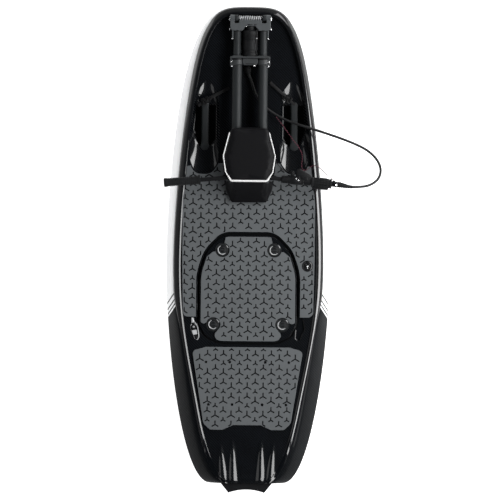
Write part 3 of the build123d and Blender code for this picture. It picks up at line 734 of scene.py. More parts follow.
def cord_skin(name, color, ply, rough):
    """A braided or ribbed sheath: bands that wind round the cord."""
    surface = Surface(name, color, rough, specular=0.3)
    x, y, z = surface.place()
    band = surface.math("ABSOLUTE", surface.math("SINE", (x + y + z * 2.0) * (pi / ply)))
    surface.set(base_color=surface.blend(band * 0.6 + surface.noise(5.0) * 0.4, tint(color, 0.55), tint(color, 1.3)),
                roughness=rough - 0.05 + band * 0.1)
    surface.bump(band, 0.15, 0.5)
    return surface


FINISHES = {make.__name__: make for make in (carbon, flank, rail, gloss_black, bottom, foam, groove, chrome, silver,
                                             plastic, rubber, cover, piping)}


def finish(name):
    """Makes the material of a name. Finishes of one kind differ only in their numbers."""
    kinds = {
        # colour, roughness, how metallic, how the lines are drawn out along each axis, and specular level
        "anodised": (brushed, tuple(look().tube_color), 0.52, 0.1, (1.0, 0.03, 1.0), 0.28),
        "steel": (brushed, (0.62, 0.63, 0.64), 0.24, 1.0, (1.0, 1.0, 0.2)),
        "spring_steel": (brushed, (0.6, 0.61, 0.62), 0.36, 0.3, (1.0, 1.0, 1.0)),
        "iron": (brushed, (0.06, 0.062, 0.066), 0.5, 0.7, (1.0, 1.0, 1.0)),
        "bronze": (brushed, (0.36, 0.33, 0.27), 0.34, 1.0, (1.0, 1.0, 1.0)),
        # share of the castings' colour
        "cast_alloy": (cast, 1.0),
        "clamp_alloy": (cast, 0.5),
        # colour, width of a ply, and roughness
        "cable_black": (cord_skin, (0.006, 0.0063, 0.007), 3.2, 0.45),
        "cord_red": (cord_skin, tuple(look().cord_color), 1.6, 0.5),
        "cord_dark": (cord_skin, tint(tuple(look().cord_color), 0.12), 1.6, 0.6),
        "webbing": (cord_skin, (0.0045, 0.0047, 0.0052), 2.4, 0.75),
    }
    if name in kinds:
        make, *facts = kinds[name]
        return make(name, *facts)
    return FINISHES[name]()


def paint(name):
    """The material of a name, made when it is first asked for."""
    return bpy.data.materials.get(f"board_{name}") or finish(name).material


# --- Hull -------------------------------------------------------------------------------------------
BILGE, BILGE_LIMIT = 62.0, 0.55
WHITE, GLOSS, UNDER = 1, 2, 3            # the hull's materials after carbon, in order
DECK_COLUMNS, STATIONS = 64, 170
POCKET_RAYS = 128
JET_Z, DUCT_R = 66.0, 44.0


def hull_stations(count):
    """Stations evenly spaced round the outline, from the transom to the tip of the nose."""
    fine = [mix(TRANSOM_Y, NOSE_Y, 1 - (1 - i / 3000) ** 4) for i in range(3001)]
    walked = [0.0]
    for a, b in zip(fine, fine[1:]):
        walked.append(walked[-1] + hypot(half_width(b) - half_width(a), b - a))
    made, k = [], 0
    for i in range(count + 1):
        goal = walked[-1] * i / count
        while k < len(walked) - 2 and walked[k + 1] < goal:
            k += 1
        share = (goal - walked[k]) / max(walked[k + 1] - walked[k], 1e-9)
        made.append(mix(fine[k], fine[k + 1], share))
    return made


def outward(y):
    """The direction square to the outline, which turns from straight abeam aft to the true one forward."""
    step = 0.05
    if y > NOSE_Y - 2 * step:
        return Vector((0, 1))
    slope = (half_width(y + step) - half_width(y - step)) / (2 * step) if y > TRANSOM_Y + step else 0.0
    true = Vector((1, -slope)).normalized()
    share = smooth((y - 350.0) / 350.0)
    return (Vector((1, 0)) * (1 - share) + true * share).normalized()


def ridge(distance, half):
    """A ridge with straight flanks and a small round top: 1 at its middle and 0 beyond its half width."""
    return max(0.0, 1.0 - max(hypot(distance, 2.5) - 2.5, 0.0) / (half - 2.5))


# ridges over the jet tunnel: distance from the middle at the front end and at the transom, and where each begins
FLUTES = ((99.0, 87.0, TRANSOM_Y + 145.0), (54.0, 52.0, TRANSOM_Y + 160.0))


def stern_relief(x, y):
    """Pointed ridges that widen as they run aft over the jet tunnel."""
    rise = 0.0
    for front, back, begin in FLUTES:
        t = (begin - y) / (begin - TRANSOM_Y)
        if t > 0:
            half = mix(4.0, 20.0, t**0.7)
            rise = max(rise, 0.34 * half * ridge(abs(x) - mix(front, back, t), half))
    return rise


def hull_section(y):
    """Points round the hull at a station, and the material of each stretch."""
    out = outward(y)
    edge = Vector((half_width(y), y))
    rail = mix(look().rail_width / MM, 30.0, smooth(y / 560.0))
    side = shoulder(y)
    aft = smooth((AFT_FROM - y) / AFT_OVER)
    stern = 1.0 - well_depth(y) / 7.0 if y < TRANSOM_Y + 250.0 else 0.0
    top, chine, slope = crest_z(y), chine_z(y), mix(mix(13.0, 4.0, aft), 0.5, stern)
    tip = mix(2.0, 0.3, smooth((y - 200.0) / 300.0)) * (1.0 - stern)
    start = side - 6.0 + 8.0 * smooth(y / 700.0) * (1.0 - 0.6 * smooth((y - 850.0) / 73.0)) + 14.0 * aft
    lip = mix(4.0, 0.2, max(aft, stern))
    depth = min(BILGE, BILGE_LIMIT * half_width(y) + 25.0)
    points, marks = [], []

    def add(inset, z, mark, relief=1.0):
        point = edge - out * inset
        points.append((max(point.x, 0.0), point.y, z + relief * stern_relief(point.x, point.y)))
        marks.append(mark)

    inner_y = (edge - out * depth).y
    for k in range(7):
        t = 1 - k / 7
        add(depth * t, mix(chine - 5.0, bottom_z(inner_y), t ** 0.75 if t else 0.0), UNDER, 0.0)
    add(0.6, chine - 4.0, WHITE, 0.0)
    add(0.0, chine, WHITE, 0.0)
    for k in range(10):
        t = k / 9
        add(start * t, mix(chine + 4.0, top - slope - lip, 1 - (1 - t) ** 1.45), WHITE,
            smooth(t * 1.6 - 0.5))
    marks[-1] = GLOSS
    start += lip * 0.7
    add(start, top - slope, GLOSS)
    # the rail: a chamfer up to its crest, a narrow ledge that tips inwards and a quick roll down to the deck
    for k in range(1, 7):
        t = k / 6
        add(start + (side + rail * 0.58 - start) * t, top - slope * (1 - t) ** 1.15, GLOSS)
    for k in range(1, 5):
        t = k / 4
        add(side + rail * mix(0.6, 0.86, t), top - tip * t ** 1.2, GLOSS)
    floor_y = (edge - out * (side + rail)).y
    low = floor_z(floor_y)
    for k in range(1, 6):
        a = pi / 2 * k / 5
        add(side + rail * mix(0.86, 1.0, sin(a)), mix(low, top - tip, cos(a)), GLOSS)
    marks[-1] = 0
    right = points[:]
    inside = right[-1]
    for k in range(1, DECK_COLUMNS):
        x = mix(inside[0], -inside[0], k / DECK_COLUMNS)
        points.append((x, inside[1], inside[2] + stern_relief(x, inside[1])))
        marks.append(0)
    points += [(-x, at, z) for x, at, z in reversed(right)]
    marks += marks[:len(right) - 1][::-1] + [UNDER]
    under = right[0]
    for k in range(1, 10):
        points.append((mix(-under[0], under[0], k / 10), under[1], under[2]))
        marks.append(UNDER)
    return points, marks


def around(outline, centre):
    """An outline as evenly turned rays from a centre find it."""
    made = []
    for i in range(POCKET_RAYS):
        a = 2 * pi * i / POCKET_RAYS
        way = Vector((cos(a), sin(a)))
        far = 0.0
        for p, q in zip(outline, outline[1:] + outline[:1]):
            start, run = Vector(p) - centre, Vector(q) - Vector(p)
            across = way.x * run.y - way.y * run.x
            if abs(across) < 1e-9:
                continue
            reach = (start.x * run.y - start.y * run.x) / across
            share = (start.x * way.y - start.y * way.x) / across
            if reach > 0 and -1e-6 <= share <= 1 + 1e-6:
                far = max(far, reach)
        made.append(tuple(centre + way * far))
    return made


def hatch_outline(grow=0.0):
    points = [(97.0, 57.6), (160.0, -6.0), (188.0, -92.0), (188.0, -283.0), (163.0, -332.0), (108.0, -356.6)]
    return grown(mirrored_outline(points, [70.0, 130.0, 200.0, 55.0, 55.0, 90.0], 4.0), grow)


def pocket_outline():
    points = [(-7, 650), (34, 590), (58, 440), (57, 345), (38, 292), (-22, 290), (-50, 330), (-56, 420), (-49, 590)]
    return rounded([(BAR_X + x, y) for x, y in points], [12, 60, 80, 50, 34, 34, 50, 80, 60], 6)


def hand_hole():
    points = [(-47, 552), (37, 552), (48, 455), (21, 386), (-17, 386), (-47, 420)]
    return rounded([(BAR_X + x, y) for x, y in points], [8] * 6, 15)


def pocket_cutter():
    """The right-hand carry pocket: a scooped bowl that leads down to a deep hand hole."""
    centre = Vector((BAR_X, 455.0))
    rim, hole = around(pocket_outline(), centre), around(hand_hole(), centre)
    rings = []

    def ring(share, grow, drop):
        level = grown([(mix(h[0], r[0], share), mix(h[1], r[1], share)) for h, r in zip(hole, rim)], grow)
        rings.append([(x, y, floor_z(y) + drop) for x, y in level])

    ring(1, 1.8, 30.0)
    ring(1, 1.8, 0.6)
    ring(1, 0.7, -0.3)
    ring(1, 0.0, -1.6)
    for k in range(1, 10):
        turn = pi / 2 * k / 9
        ring(1 - k / 9, 0.0, -1.6 - look().scoop_depth / MM * (0.3 * sin(turn) + 0.7 * k / 9))
    ring(0, -2.0, -3.8 - look().scoop_depth / MM)
    low = BAR_Z - 30.0
    inner = grown(hole, -2.0)
    rings += [lifted(inner, low + 6.0), lifted(grown(inner, -2.0), low + 1.5), lifted(grown(inner, -6.0), low)]
    return Shape().loft(rings, 0)


def sink(outline, depth, soft=1.4, foot=2.5, mark=0):
    """A cutter for a recess in the deck, with a broken edge round its mouth."""
    rings = [grown(outline, soft), grown(outline, soft), grown(outline, soft * 0.3), outline, outline,
             grown(outline, -foot * 0.3), grown(outline, -foot)]
    drops = [20.0, 0.1, -soft * 0.3, -soft, foot - depth, foot * 0.3 - depth, -depth]
    return Shape().loft([[(x, y, floor_z(y) + d) for x, y in ring] for ring, d in zip(rings, drops)], mark)


def recess_outline():
    points = [(-4, -262), (21, -256), (29, -300), (8, -346), (-8, -338)]
    return rounded([(188.0 + x, y) for x, y in points], [10, 14, 22, 10, 8], 10)


STRAP_ROWS = ((67.0, 157.0, -427.0), (57.0, 147.0, -588.0))


def insert_spots():
    return [(side * x, y) for inner, outer, y in STRAP_ROWS for x in (inner, outer) for side in (-1, 1)]


def drive_way():
    """Cutters for the duct, the shaft's bore and the intake that slopes up to the duct's mouth."""
    front = TRANSOM_Y + 247.0
    duct = lathe([(0, DUCT_R), (TRANSOM_Y - 20 - front, DUCT_R)], (0, front, JET_Z), (0, 1, 0), 48, GLOSS)
    bore = lathe([(0, 10.0), (front + 330.0, 10.0)], (0, front - 1, JET_Z), (0, 1, 0), 24, GLOSS)
    side = [(front + 210.0, -10.0), (front + 210.0, 9.0), (front + 60.0, 94.0), (front, 106.0), (front, 22.0),
            (front + 1.0, 9.0), (front + 1.0, -10.0)]
    intake = Shape().loft([[(x, y, z) for y, z in side] for x in (-36.0, 36.0)], GLOSS)
    return [duct, bore, intake]


class BOARD_OT_hull(bpy.types.Operator):
    """Build the hull skin with its pockets, hatch opening, recesses and jet tunnel"""
    bl_idname = "jet_board.hull"
    bl_label = "Hull"

    def execute(self, context):
        rings, marks = [], []
        for y in hull_stations(STATIONS):
            points, marks = hull_section(y)
            rings.append(points)
        shape = Shape().loft(rings, marks, caps=False)
        shape.faces.append(tuple(range(len(rings[0]) - 1, -1, -1)))
        shape.marks.append(0)
        hull = make_piece("hull_skin", shape, ["carbon", "flank", "rail", "bottom", "groove"], "hull",
                          ["deck_shell", "hull_bottom"], sharp=32)
        # the walls of the hatch's seam take the near-black groove paint: painted shade in the gap
        opening = sink(hatch_outline(4.0), FLOOR_Z - LID_LOW.z, 0.8, 0.8, 4)
        bay = slab(rounded([(-142, 22), (142, 22), (142, -318), (-142, -318)], [30] * 4), 20.0, FLOOR_Z + 9, 0,
                   mark=GLOSS)
        pockets = pocket_cutter().both_sides()
        recesses = sink(recess_outline(), 10.0, mark=GLOSS).both_sides()
        holes = Shape()
        for x, y in insert_spots():
            holes.add(sink(circle(x, y, 3.2, 20), 20.0, 0.5, 0.5, GLOSS))
        carve(hull, [opening, bay, pockets, recesses, holes, *drive_way()], 32)
        settle_normals(hull)
        return {"FINISHED"}


# --- Foam pads, hatch and latches ---------------------------------------------------------------------
LATCHES = {"latch_front_left": (-98.5, -2.0), "latch_front_right": (98.5, -2.0),
           "latch_rear_left": (-131.0, -284.5), "latch_rear_right": (131.0, -284.5)}
LATCH_WELL_R = 27.0
PAD_GAP = 5.0                            # between a pad and what it goes round
STAR_MARGIN = 4.0                        # between a groove and the pad's edge
PAD_SLICE = 22.0


def inside(outline, x, y):
    odd = False
    for (ax, ay), (bx, by) in zip(outline, outline[1:] + outline[:1]):
        if (ay > y) != (by > y) and x < ax + (y - ay) / (by - ay) * (bx - ax):
            odd = not odd
    return odd


def star(x, y, arms, half, top, deep):
    """A cutter for one three-armed groove, flared at the surface of the pad."""
    outline = []
    for arm, angle in zip(arms, (90.0, 210.0, 330.0)):
        way = Vector((cos(radians(angle)), sin(radians(angle))))
        side = Vector((-way.y, way.x))
        notch = radians(angle - 60.0)
        root = half / sin(radians(60.0))
        outline.append((x + root * cos(notch), y + root * sin(notch)))
        if arm > half * 1.6:
            for along, aside in ((arm - 0.9, -half), (arm, -half + 0.9), (arm, half - 0.9), (arm - 0.9, half)):
                outline.append((x + way.x * along + side.x * aside, y + way.y * along + side.y * aside))
    levels = ((-0.2, -deep), (0.0, -0.7), (0.6, 0.05), (0.6, 3.0))
    # the groove's walls and floor take the near-black groove paint: painted shade
    return Shape().loft([lifted(grown(outline, g), top + z) for g, z in levels], 1)


def star_field(allowed, low_y, high_y, top):
    """Every star of the lattice whose middle may be cut, with arms shortened where they would leave the pad."""
    board = look()
    pitch, row, half = board.star_pitch / MM, board.star_row / MM, board.groove_width / MM / 2
    arms_by_size = [board.star_arm / MM * share for share in (1.0, 0.83, 0.6)]
    field = Shape()
    for column in range(-9, 10):
        offset = (column % 2) * row * 1.5
        for k in range(-8, 26):
            x, y = column * pitch, 122.2 - offset - row * k
            if not low_y < y < high_y or not allowed(x, y):
                continue
            arms = []
            for angle in (90.0, 210.0, 330.0):
                reach = arms_by_size[k % 3]
                while reach > 2.0 and not allowed(x + reach * cos(radians(angle)), y + reach * sin(radians(angle))):
                    reach -= 0.5
                arms.append(reach)
            if sum(arms) > 9.0:
                field.add(star(x, y, arms, half, top, board.groove_depth / MM))
    return field


def follow_deck(piece, low_y, high_y):
    """Slices a flat pad across and lets each slice follow the deck's rise and fall."""
    work = bmesh.new()
    work.from_mesh(piece.data)
    y = low_y + PAD_SLICE
    while y < high_y:
        everything = work.verts[:] + work.edges[:] + work.faces[:]
        bmesh.ops.bisect_plane(work, geom=everything, dist=1e-7, plane_co=(0, y * MM, 0), plane_no=(0, 1, 0))
        y += PAD_SLICE
    for point in work.verts:
        point.co.z += (floor_z(point.co.y / MM) - FLOOR_Z) * MM
    work.to_mesh(piece.data)
    work.free()


def main_pad_outline(grow=0.0):
    points = [(118, 327), (240, 315), (251, 247), (251, WIDEST_Y), (247, -256)]
    return grown(mirrored_outline(points, [0, 12, 90, 200, 20], 5), grow)


def rear_pad_outline(grow=0.0):
    points = [(159, -370), (210, -385), (166, -660), (140, -684), (92, -684), (53, -666)]
    return grown(mirrored_outline(points, [14, 16, 30, 16, 10, 10], 9), grow)


def pad_piece(name, shape, cutters, allowed, low_y, high_y, node, body):
    """A foam pad: its sheet with what it goes round cut away, then the grooves, then the deck's curve."""
    pad = make_piece(name, shape, ["foam", "groove"], body, [node], sharp=32)
    carve(pad, cutters + [star_field(allowed, low_y, high_y, PAD_HIGH.z)], 32)
    follow_deck(pad, low_y, high_y)
    pad.data.shade_smooth()
    pad.data.set_sharp_from_angle(angle=radians(32))
    settle_normals(pad)
    return pad


def pad_hole(outline):
    """A cutter that goes right through a pad and rounds over its upper edge."""
    top = PAD_HIGH.z
    levels = ((0.0, FLOOR_Z - 5), (0.0, top - 1.5), (0.45, top - 0.45), (1.5, top), (1.5, top + 8))
    return Shape().loft([lifted(grown(outline, g), z) for g, z in levels], 0)


class BOARD_OT_pads(bpy.types.Operator):
    """Build the grooved foam pads on the deck, and the threaded inserts under them"""
    bl_idname = "jet_board.pads"
    bl_label = "Deck pads"

    def execute(self, context):
        rim = main_pad_outline(-STAR_MARGIN)
        hatch = hatch_outline(4.0 + PAD_GAP)
        pocket = grown(pocket_outline(), PAD_GAP)
        cap = circle((CAP_LOW.x + CAP_HIGH.x) / 2, (CAP_LOW.y + CAP_HIGH.y) / 2, (CAP_HIGH.x - CAP_LOW.x) / 2 + 2)
        keep_off = [grown(outline, STAR_MARGIN) for outline in (hatch, pocket, cap)]

        def on_main(x, y):
            return inside(rim, x, y) and not any(inside(o, x, y) or inside(o, -x, y) for o in keep_off[:2]) \
                and not inside(keep_off[2], x, y)

        main = slab(main_pad_outline(), FLOOR_Z, PAD_HIGH.z, 1.5)
        pad_piece("main_pad_foam", main, [pad_hole(hatch), pad_hole(pocket).both_sides(), pad_hole(cap)],
                  on_main, -256.0, 327.0, "main_deck_pad", "hull")
        back = rear_pad_outline(-STAR_MARGIN)
        spots = insert_spots()

        def on_rear(x, y):
            return inside(back, x, y) and all(hypot(x - a, y - b) > 9.0 for a, b in spots)

        holes = Shape()
        for x, y in spots:
            holes.add(pad_hole(circle(x, y, 5.0, 28)))
        pad_piece("rear_pad_foam", slab(rear_pad_outline(), FLOOR_Z, PAD_HIGH.z, 1.5), [holes], on_rear,
                  -684.0, -370.0, "rear_deck_pad", "hull")
        bushes = Shape()
        for x, y in spots:
            low = floor_z(y) - 16.0
            bushes.add(Shape().loft([lifted(circle(x, y, r, 28), low + z) for r, z in
                                     ((2.2, 0), (3.15, 0), (3.15, 17.2), (2.9, 17.6), (2.4, 17.6), (2.2, 17.2),
                                      (2.2, 0))], 0, caps=False))
        make_piece("strap_inserts", bushes, ["steel"], "hull")
        return {"FINISHED"}


class BOARD_OT_hatch(bpy.types.Operator):
    """Build the engine hatch, its foam pad and its four latches"""
    bl_idname = "jet_board.hatch"
    bl_label = "Engine hatch"

    def execute(self, context):
        lid = make_piece("hatch_lid", slab(hatch_outline(-4.0), LID_LOW.z, FLOOR_Z, 0.8, 1.0),
                         ["carbon"], "engine_hatch", ["hatch_cover"])
        settle_normals(lid)
        rim = hatch_outline(-4.0 - PAD_GAP)
        inner = grown(rim, -STAR_MARGIN)

        # the pad stops short of the lid's four corners, and its edge bends in round each latch
        front = rounded([(72, 90), (72, 56), (87, 45), (90, 30), (98.5, -2), (118, -8), (134, -8), (150, -22),
                         (166, -34), (230, -34), (230, 90)], [2, 4, 10, 6, 4, 8, 9, 14, 4, 2, 2], 12)
        back = rounded([(230, -400), (98, -400), (98, -352), (116, -344), (126, -330), (124, -316), (114, -308),
                        (131, -284.5), (152, -274), (166, -283), (178, -278), (184, -262), (230, -262)],
                       [2, 2, 4, 14, 10, 10, 4, 4, 8, 9, 9, 4, 2], 12)
        flares = Shape().add(pad_hole(front)).add(pad_hole(back)).both_sides()
        near = [grown(front, STAR_MARGIN), grown(back, STAR_MARGIN)]

        def on_hatch(x, y):
            return inside(inner, x, y) and all(hypot(x - a, y - b) > LATCH_WELL_R + 4 for a, b in LATCHES.values()) \
                and not any(inside(o, abs(x), y) for o in near)

        wells = Shape()
        for x, y in LATCHES.values():
            wells.add(pad_hole(circle(x, y, LATCH_WELL_R, 56)))
        pad_piece("hatch_pad_foam", slab(rim, FLOOR_Z, PAD_HIGH.z, 1.5), [wells, flares], on_hatch, -351.0, 52.0,
                  "hatch_pad", "engine_hatch")
        for name, (x, y) in LATCHES.items():
            self.latch(name, x, y)
        return {"FINISHED"}

    def latch(self, name, x, y):
        base = FLOOR_Z
        body = lathe([(0, 26.4), (1.2, 26.4), (2.0, 25.6), (1.4, 21.5), (0.8, 20.2)], (x, y, base), (0, 0, 1), 64)
        body.add(lathe([(0.5, 19.0), (5.0, 19.0), (6.2, 18.6), (7.0, 17.6), (7.3, 16.9), (6.5, 16.4), (6.5, 14.4),
                        (7.4, 13.9), (8.4, 12.0), (9.0, 8.0), (9.2, 0.0)], (x, y, base), (0, 0, 1), 64))
        # the grey dished centre stands for the sheen of the knob's top: painted sheen
        body.add(lathe([(8.0, 12.4), (9.1, 11.6), (8.6, 8.0), (8.0, 4.0), (7.9, 0.0)], (x, y, base),
                       (0, 0, 1), 48, 2))
        key = rounded([(x - 9, y - 2.2), (x + 9, y - 2.2), (x + 9, y + 2.2), (x - 9, y + 2.2)], [2.0] * 4)
        body.add(slab(key, base + 7, base + 10.6, 1.2, mark=2))
        # a silver crescent: a painted reflection of the light in the knob's glossy rim
        arc = [radians(a) for a in range(112, 319, 6)]
        reflection_crescent = [Vector((x + 16.4 * cos(a), y + 16.4 * sin(a), base + 7.2)) for a in arc]
        widths = [max(0.6, 1.9 * sin(pi * k / (len(arc) - 1)) ** 0.4) for k in range(len(arc))]
        body.add(pipe(reflection_crescent, widths, 10, mark=1, flat=0.6))
        # a short silver arc: a painted highlight on the rim
        arc = [radians(a) for a in range(14, 59, 4)]
        ring = [Vector((x + 23.0 * cos(a), y + 23.0 * sin(a), base + 1.6)) for a in arc]
        body.add(pipe(ring, [max(0.4, 1.5 * sin(pi * k / (len(arc) - 1))) for k in range(len(arc))], 8, mark=1))
        # a thin grey ring round the rim: a painted highlight
        body.add(lathe([(0.8, 26.5), (1.9, 26.9), (2.4, 26.3), (1.6, 25.7)], (x, y, base), (0, 0, 1), 64, 2))
        make_piece(f"{name}_knob", body, ["plastic", "silver", "anodised"], "engine_hatch", [name])


# --- Deck fittings --------------------------------------------------------------------------------------
def screw(x, y, z, radius=3.2, high=2.2, mark=0, direction=(0, 0, 1)):
    """A button-head screw with a socket in its crown."""
    profile = [(0, radius), (high * 0.35, radius), (high * 0.75, radius * 0.82), (high, radius * 0.5),
               (high * 0.55, radius * 0.42), (high * 0.5, 0.0)]
    return lathe(profile, (x, y, z), direction, 18, mark)


CAP_TEETH = 12


def filler_cap():
    """The fuel cap: a stepped disc with small teeth, a crossed key and a screw."""
    x, y = (CAP_LOW.x + CAP_HIGH.x) / 2, (CAP_LOW.y + CAP_HIGH.y) / 2
    radius = (CAP_HIGH.x - CAP_LOW.x) / 2
    shape = lathe([(0, radius), (4.2, radius), (5.6, radius - 0.6), (6.4, radius - 1.8), (6.6, radius - 3.0),
                   (5.0, radius - 3.6), (5.0, radius - 4.6), (6.0, radius - 5.2), (5.4, 6.0), (5.4, 0)],
                  (x, y, FLOOR_Z), (0, 0, 1), 56)
    turned = Matrix.Translation((x, y, FLOOR_Z)) @ Matrix.Rotation(radians(-38), 4, "Z")
    for angle in (0, 90):
        wing = rounded([(-12, -2.0), (-4, -3.2), (4, -3.2), (12, -2.0), (12, 2.0), (4, 3.2), (-4, 3.2), (-12, 2.0)],
                       [1.8, 6, 6, 1.8, 1.8, 6, 6, 1.8])
        shape.add(slab(wing, 4.6, 8.2 if angle else 7.0, 1.4), turned @ Matrix.Rotation(radians(angle), 4, "Z"))
    shape.add(screw(0, 0, 7.6, 3.2, 2.0, 1), turned)
    shape.add(screw(1, -8, 5.0, 3.0, 2.4, 1), Matrix.Translation((x, y, FLOOR_Z)))
    for k in range(CAP_TEETH):
        turned = Matrix.Translation((x, y, FLOOR_Z)) @ Matrix.Rotation(2 * pi * k / CAP_TEETH, 4, "Z")
        shape.add(block(radius - 4.2, radius - 2.2, -0.9, 0.9, 6.0, 7.4, 0.3, 0.3), turned)
    return shape


def cleat():
    """A fuel-line coupling in the left recess: a tapered stem, a round union, a clip plate and a hook."""
    base = CLEAT_LOW.z
    start, way = Vector((-211.0, -259.0)), Vector((0.17, -0.985))
    aside = Vector((-way.y, way.x))

    def spot(along, across, up):
        flat = start + way * along + aside * across
        return Vector((flat.x, flat.y, base + up))

    shape = lathe([(0, 3.4), (1.0, 4.4), (16, 6.6), (19, 6.6), (20, 5.2)], spot(0, 0, 7.0), (*way, 0), 24, 1)
    shape.add(lathe([(0, 5.0), (0.6, 5.8), (5.4, 5.8), (6.0, 5.0)], spot(20, 0, 6.6), (*way, 0), 24))
    shape.add(lathe([(0, 11.0), (6.0, 11.0), (7.6, 9.8), (8.0, 7.6), (6.6, 6.6), (6.6, 0)], spot(36, 0, 0),
                    (0, 0, 1), 36))
    shape.add(screw(*spot(36, 0, 6.4), 4.0, 2.4, 1))
    collar = [spot(36, 0, 6.6) + Vector((12.2 * cos(a), 12.2 * sin(a), 0)) for a in
              [radians(v) for v in range(20, 171, 10)]]
    shape.add(pipe(collar, 1.6, 10, 1))
    plate = [spot(along, across, 0).to_2d() for along, across in ((48, 8.5), (48, -8.5), (66, -9.5), (66, 9.5))]
    shape.add(slab(rounded([tuple(p) for p in plate], [2.5, 2.5, 2.5, 2.5]), base, base + 6.6, 1.0, mark=1))
    shape.add(lathe([(0, 9.6), (5.4, 9.6), (7.4, 8.4), (8.0, 5.0), (7.0, 4.2), (7.0, 0)], spot(76, 0, 0),
                    (0, 0, 1), 36))
    hook = [(20, 6.5), (28, 11.5), (36, 14.0), (48, 14.6), (62, 14.4), (74, 13.6), (81, 10.6), (86, 5.0), (87.5, 0.0)]
    return shape.add(pipe([spot(along, across, 8.2) for along, across in hook], 1.6, 10, 1))


def grab_bar(side):
    """A hand bar across the pocket: flat-topped with bright chamfers, and round bosses at its ends."""
    x = side * BAR_X
    shape = Shape()
    section = rounded([(-11, -9), (11, -9), (13, 0), (12.4, 8), (8, 11), (-8, 11), (-12.4, 8), (-13, 0)],
                      [6, 6, 4, 0.8, 0.8, 0.8, 0.8, 4], 15)
    rings = []
    front, back = BAR_HIGH.y, BAR_LOW.y
    for k in range(13):
        t = k / 12
        wide = 1.0 + 0.12 * (2 * t - 1) ** 4
        rings.append([(x + px * wide, mix(back, front, t), BAR_Z + pz * wide) for px, pz in section])
    shape.loft(rings, 0)
    for y, r, rise in ((back + 6.0, 17.0, 12.5), (front - 4.0, 14.0, 11.5)):
        shape.add(lathe([(-26, r * 0.9), (rise - 4, r), (rise - 1.2, r - 0.8), (rise, r - 3.0), (rise + 0.5, 5.0),
                         (rise + 0.5, 0)], (x, y, BAR_Z), (0, 0, 1), 36))
    return shape


def gland():
    """The rubber boot that the throttle cable comes out of the deck through."""
    low, high = corners_mm("cable_gland")
    start = Vector(CABLE[0])
    x, y = low.x + 14.0, high.y - 14.0
    z = floor_z(y)
    shape = lathe([(-3, 14.0), (4.0, 14.0), (6.5, 13.2), (8.5, 11.2), (9.5, 8.6), (10.0, 0)], (x, y, z),
                  (0, 0, 1), 40)
    away = start - Vector((x, y, z + 8.0))
    ribs = []
    for k in range(9):
        t = k / 8
        ribs.append((away.length * t, mix(9.4, 6.4, t) + (0.6 if k % 2 else -0.5)))
    return shape.add(lathe(ribs + [(away.length + 2.5, 5.4)], (x, y, z + 8.0), away, 28))


def strap_run(points, wide):
    """A flat strap along a path, a little twisted."""
    return pipe(points, wide, 12, 0, flat=0.22)


def knot(centre, size):
    """A half hitch: a lump of three crossing turns."""
    shape = Shape()
    turns = 30
    path = []
    for k in range(turns):
        a = 2 * pi * k / turns
        path.append(Vector(centre) + Vector((size * (sin(a) + 2 * sin(2 * a)) * 0.42,
                                             size * (cos(a) - 2 * cos(2 * a)) * 0.42, size * 0.35 * sin(3 * a))))
    return shape.add(pipe(path, size * 0.34, 10, 0, closed=True, flat=0.8))


def bridle():
    """Straps tied from under the pole to the front end of each grab bar."""
    shape = Shape()
    for side, start, tie in ((-1, (-78.0, 612.0), (-171.0, 563.0)), (1, (76.0, 634.0), (147.0, 571.0))):
        a, b = Vector(start), Vector(tie)
        path = []
        for k in range(9):
            p = a.lerp(b, k / 8)
            path.append(Vector((p.x, p.y, floor_z(p.y) + 5.0 + 4.0 * sin(pi * k / 8))))
        shape.add(strap_run(path, 6.0))
        shape.add(knot((b.x, b.y - 2, floor_z(b.y) + 8.0), 10.5))
        shape.add(knot((b.x - side * 14, b.y + 6, floor_z(b.y) + 8.0), 9.0))
        tail = [Vector((b.x + side * 4 * k, b.y - 3.5 * k, floor_z(b.y) + 6.5 - 0.8 * k)) for k in range(7)]
        shape.add(strap_run(tail, 5.0))
    return shape


class BOARD_OT_fittings(bpy.types.Operator):
    """Build the small fittings of the deck: cap, coupling, grab bars, cable gland and bridle straps"""
    bl_idname = "jet_board.fittings"
    bl_label = "Deck fittings"

    def execute(self, context):
        make_piece("filler_cap_turned", filler_cap(), ["gloss_black", "chrome"], "hull",
                   ["filler_cap"])
        make_piece("fuel_coupling", cleat(), ["plastic", "silver"], "hull", ["deck_cleat"])
        for side, word in SIDES:
            make_piece(f"grab_handle_{word}", grab_bar(side), ["anodised"], "hull",
                       [f"grab_bar_{word}"], sharp=24)
        make_piece("gland_boot", gland(), ["rubber"], "hull", ["cable_gland"])
        make_piece("bridle_webbing", bridle(), ["webbing"], "hull", ["bridle_strap"])
        return {"FINISHED"}


class BOARD_OT_drive(bpy.types.Operator):
    """Finish the engine, the jet pump, the intake grate, the fins and the jet shroud"""
    bl_idname = "jet_board.drive"
    bl_label = "Engine and jet drive"

    def execute(self, context):
        for node, material, bevel in (("engine_block", "iron", 3.0), ("pump_housing", "cast_alloy", 0.6),
                                      ("jet_nozzle", "anodised", 0.5), ("impeller", "bronze", 0.3),
                                      ("intake_grate", "anodised", 0.8), ("stern_fin_left", "plastic", 0.8),
                                      ("stern_fin_right", "plastic", 0.8), ("jet_shroud", "plastic", 1.2)):
            dress(node, material, bevel)
        return {"FINISHED"}


# --- Handle pole ----------------------------------------------------------------------------------------
def cross_pin(x0, x1, radius, mark=0):
    return pin((x0, PIVOT.y, PIVOT.z), (x1, PIVOT.y, PIVOT.z), radius, 0.8, 32, mark)


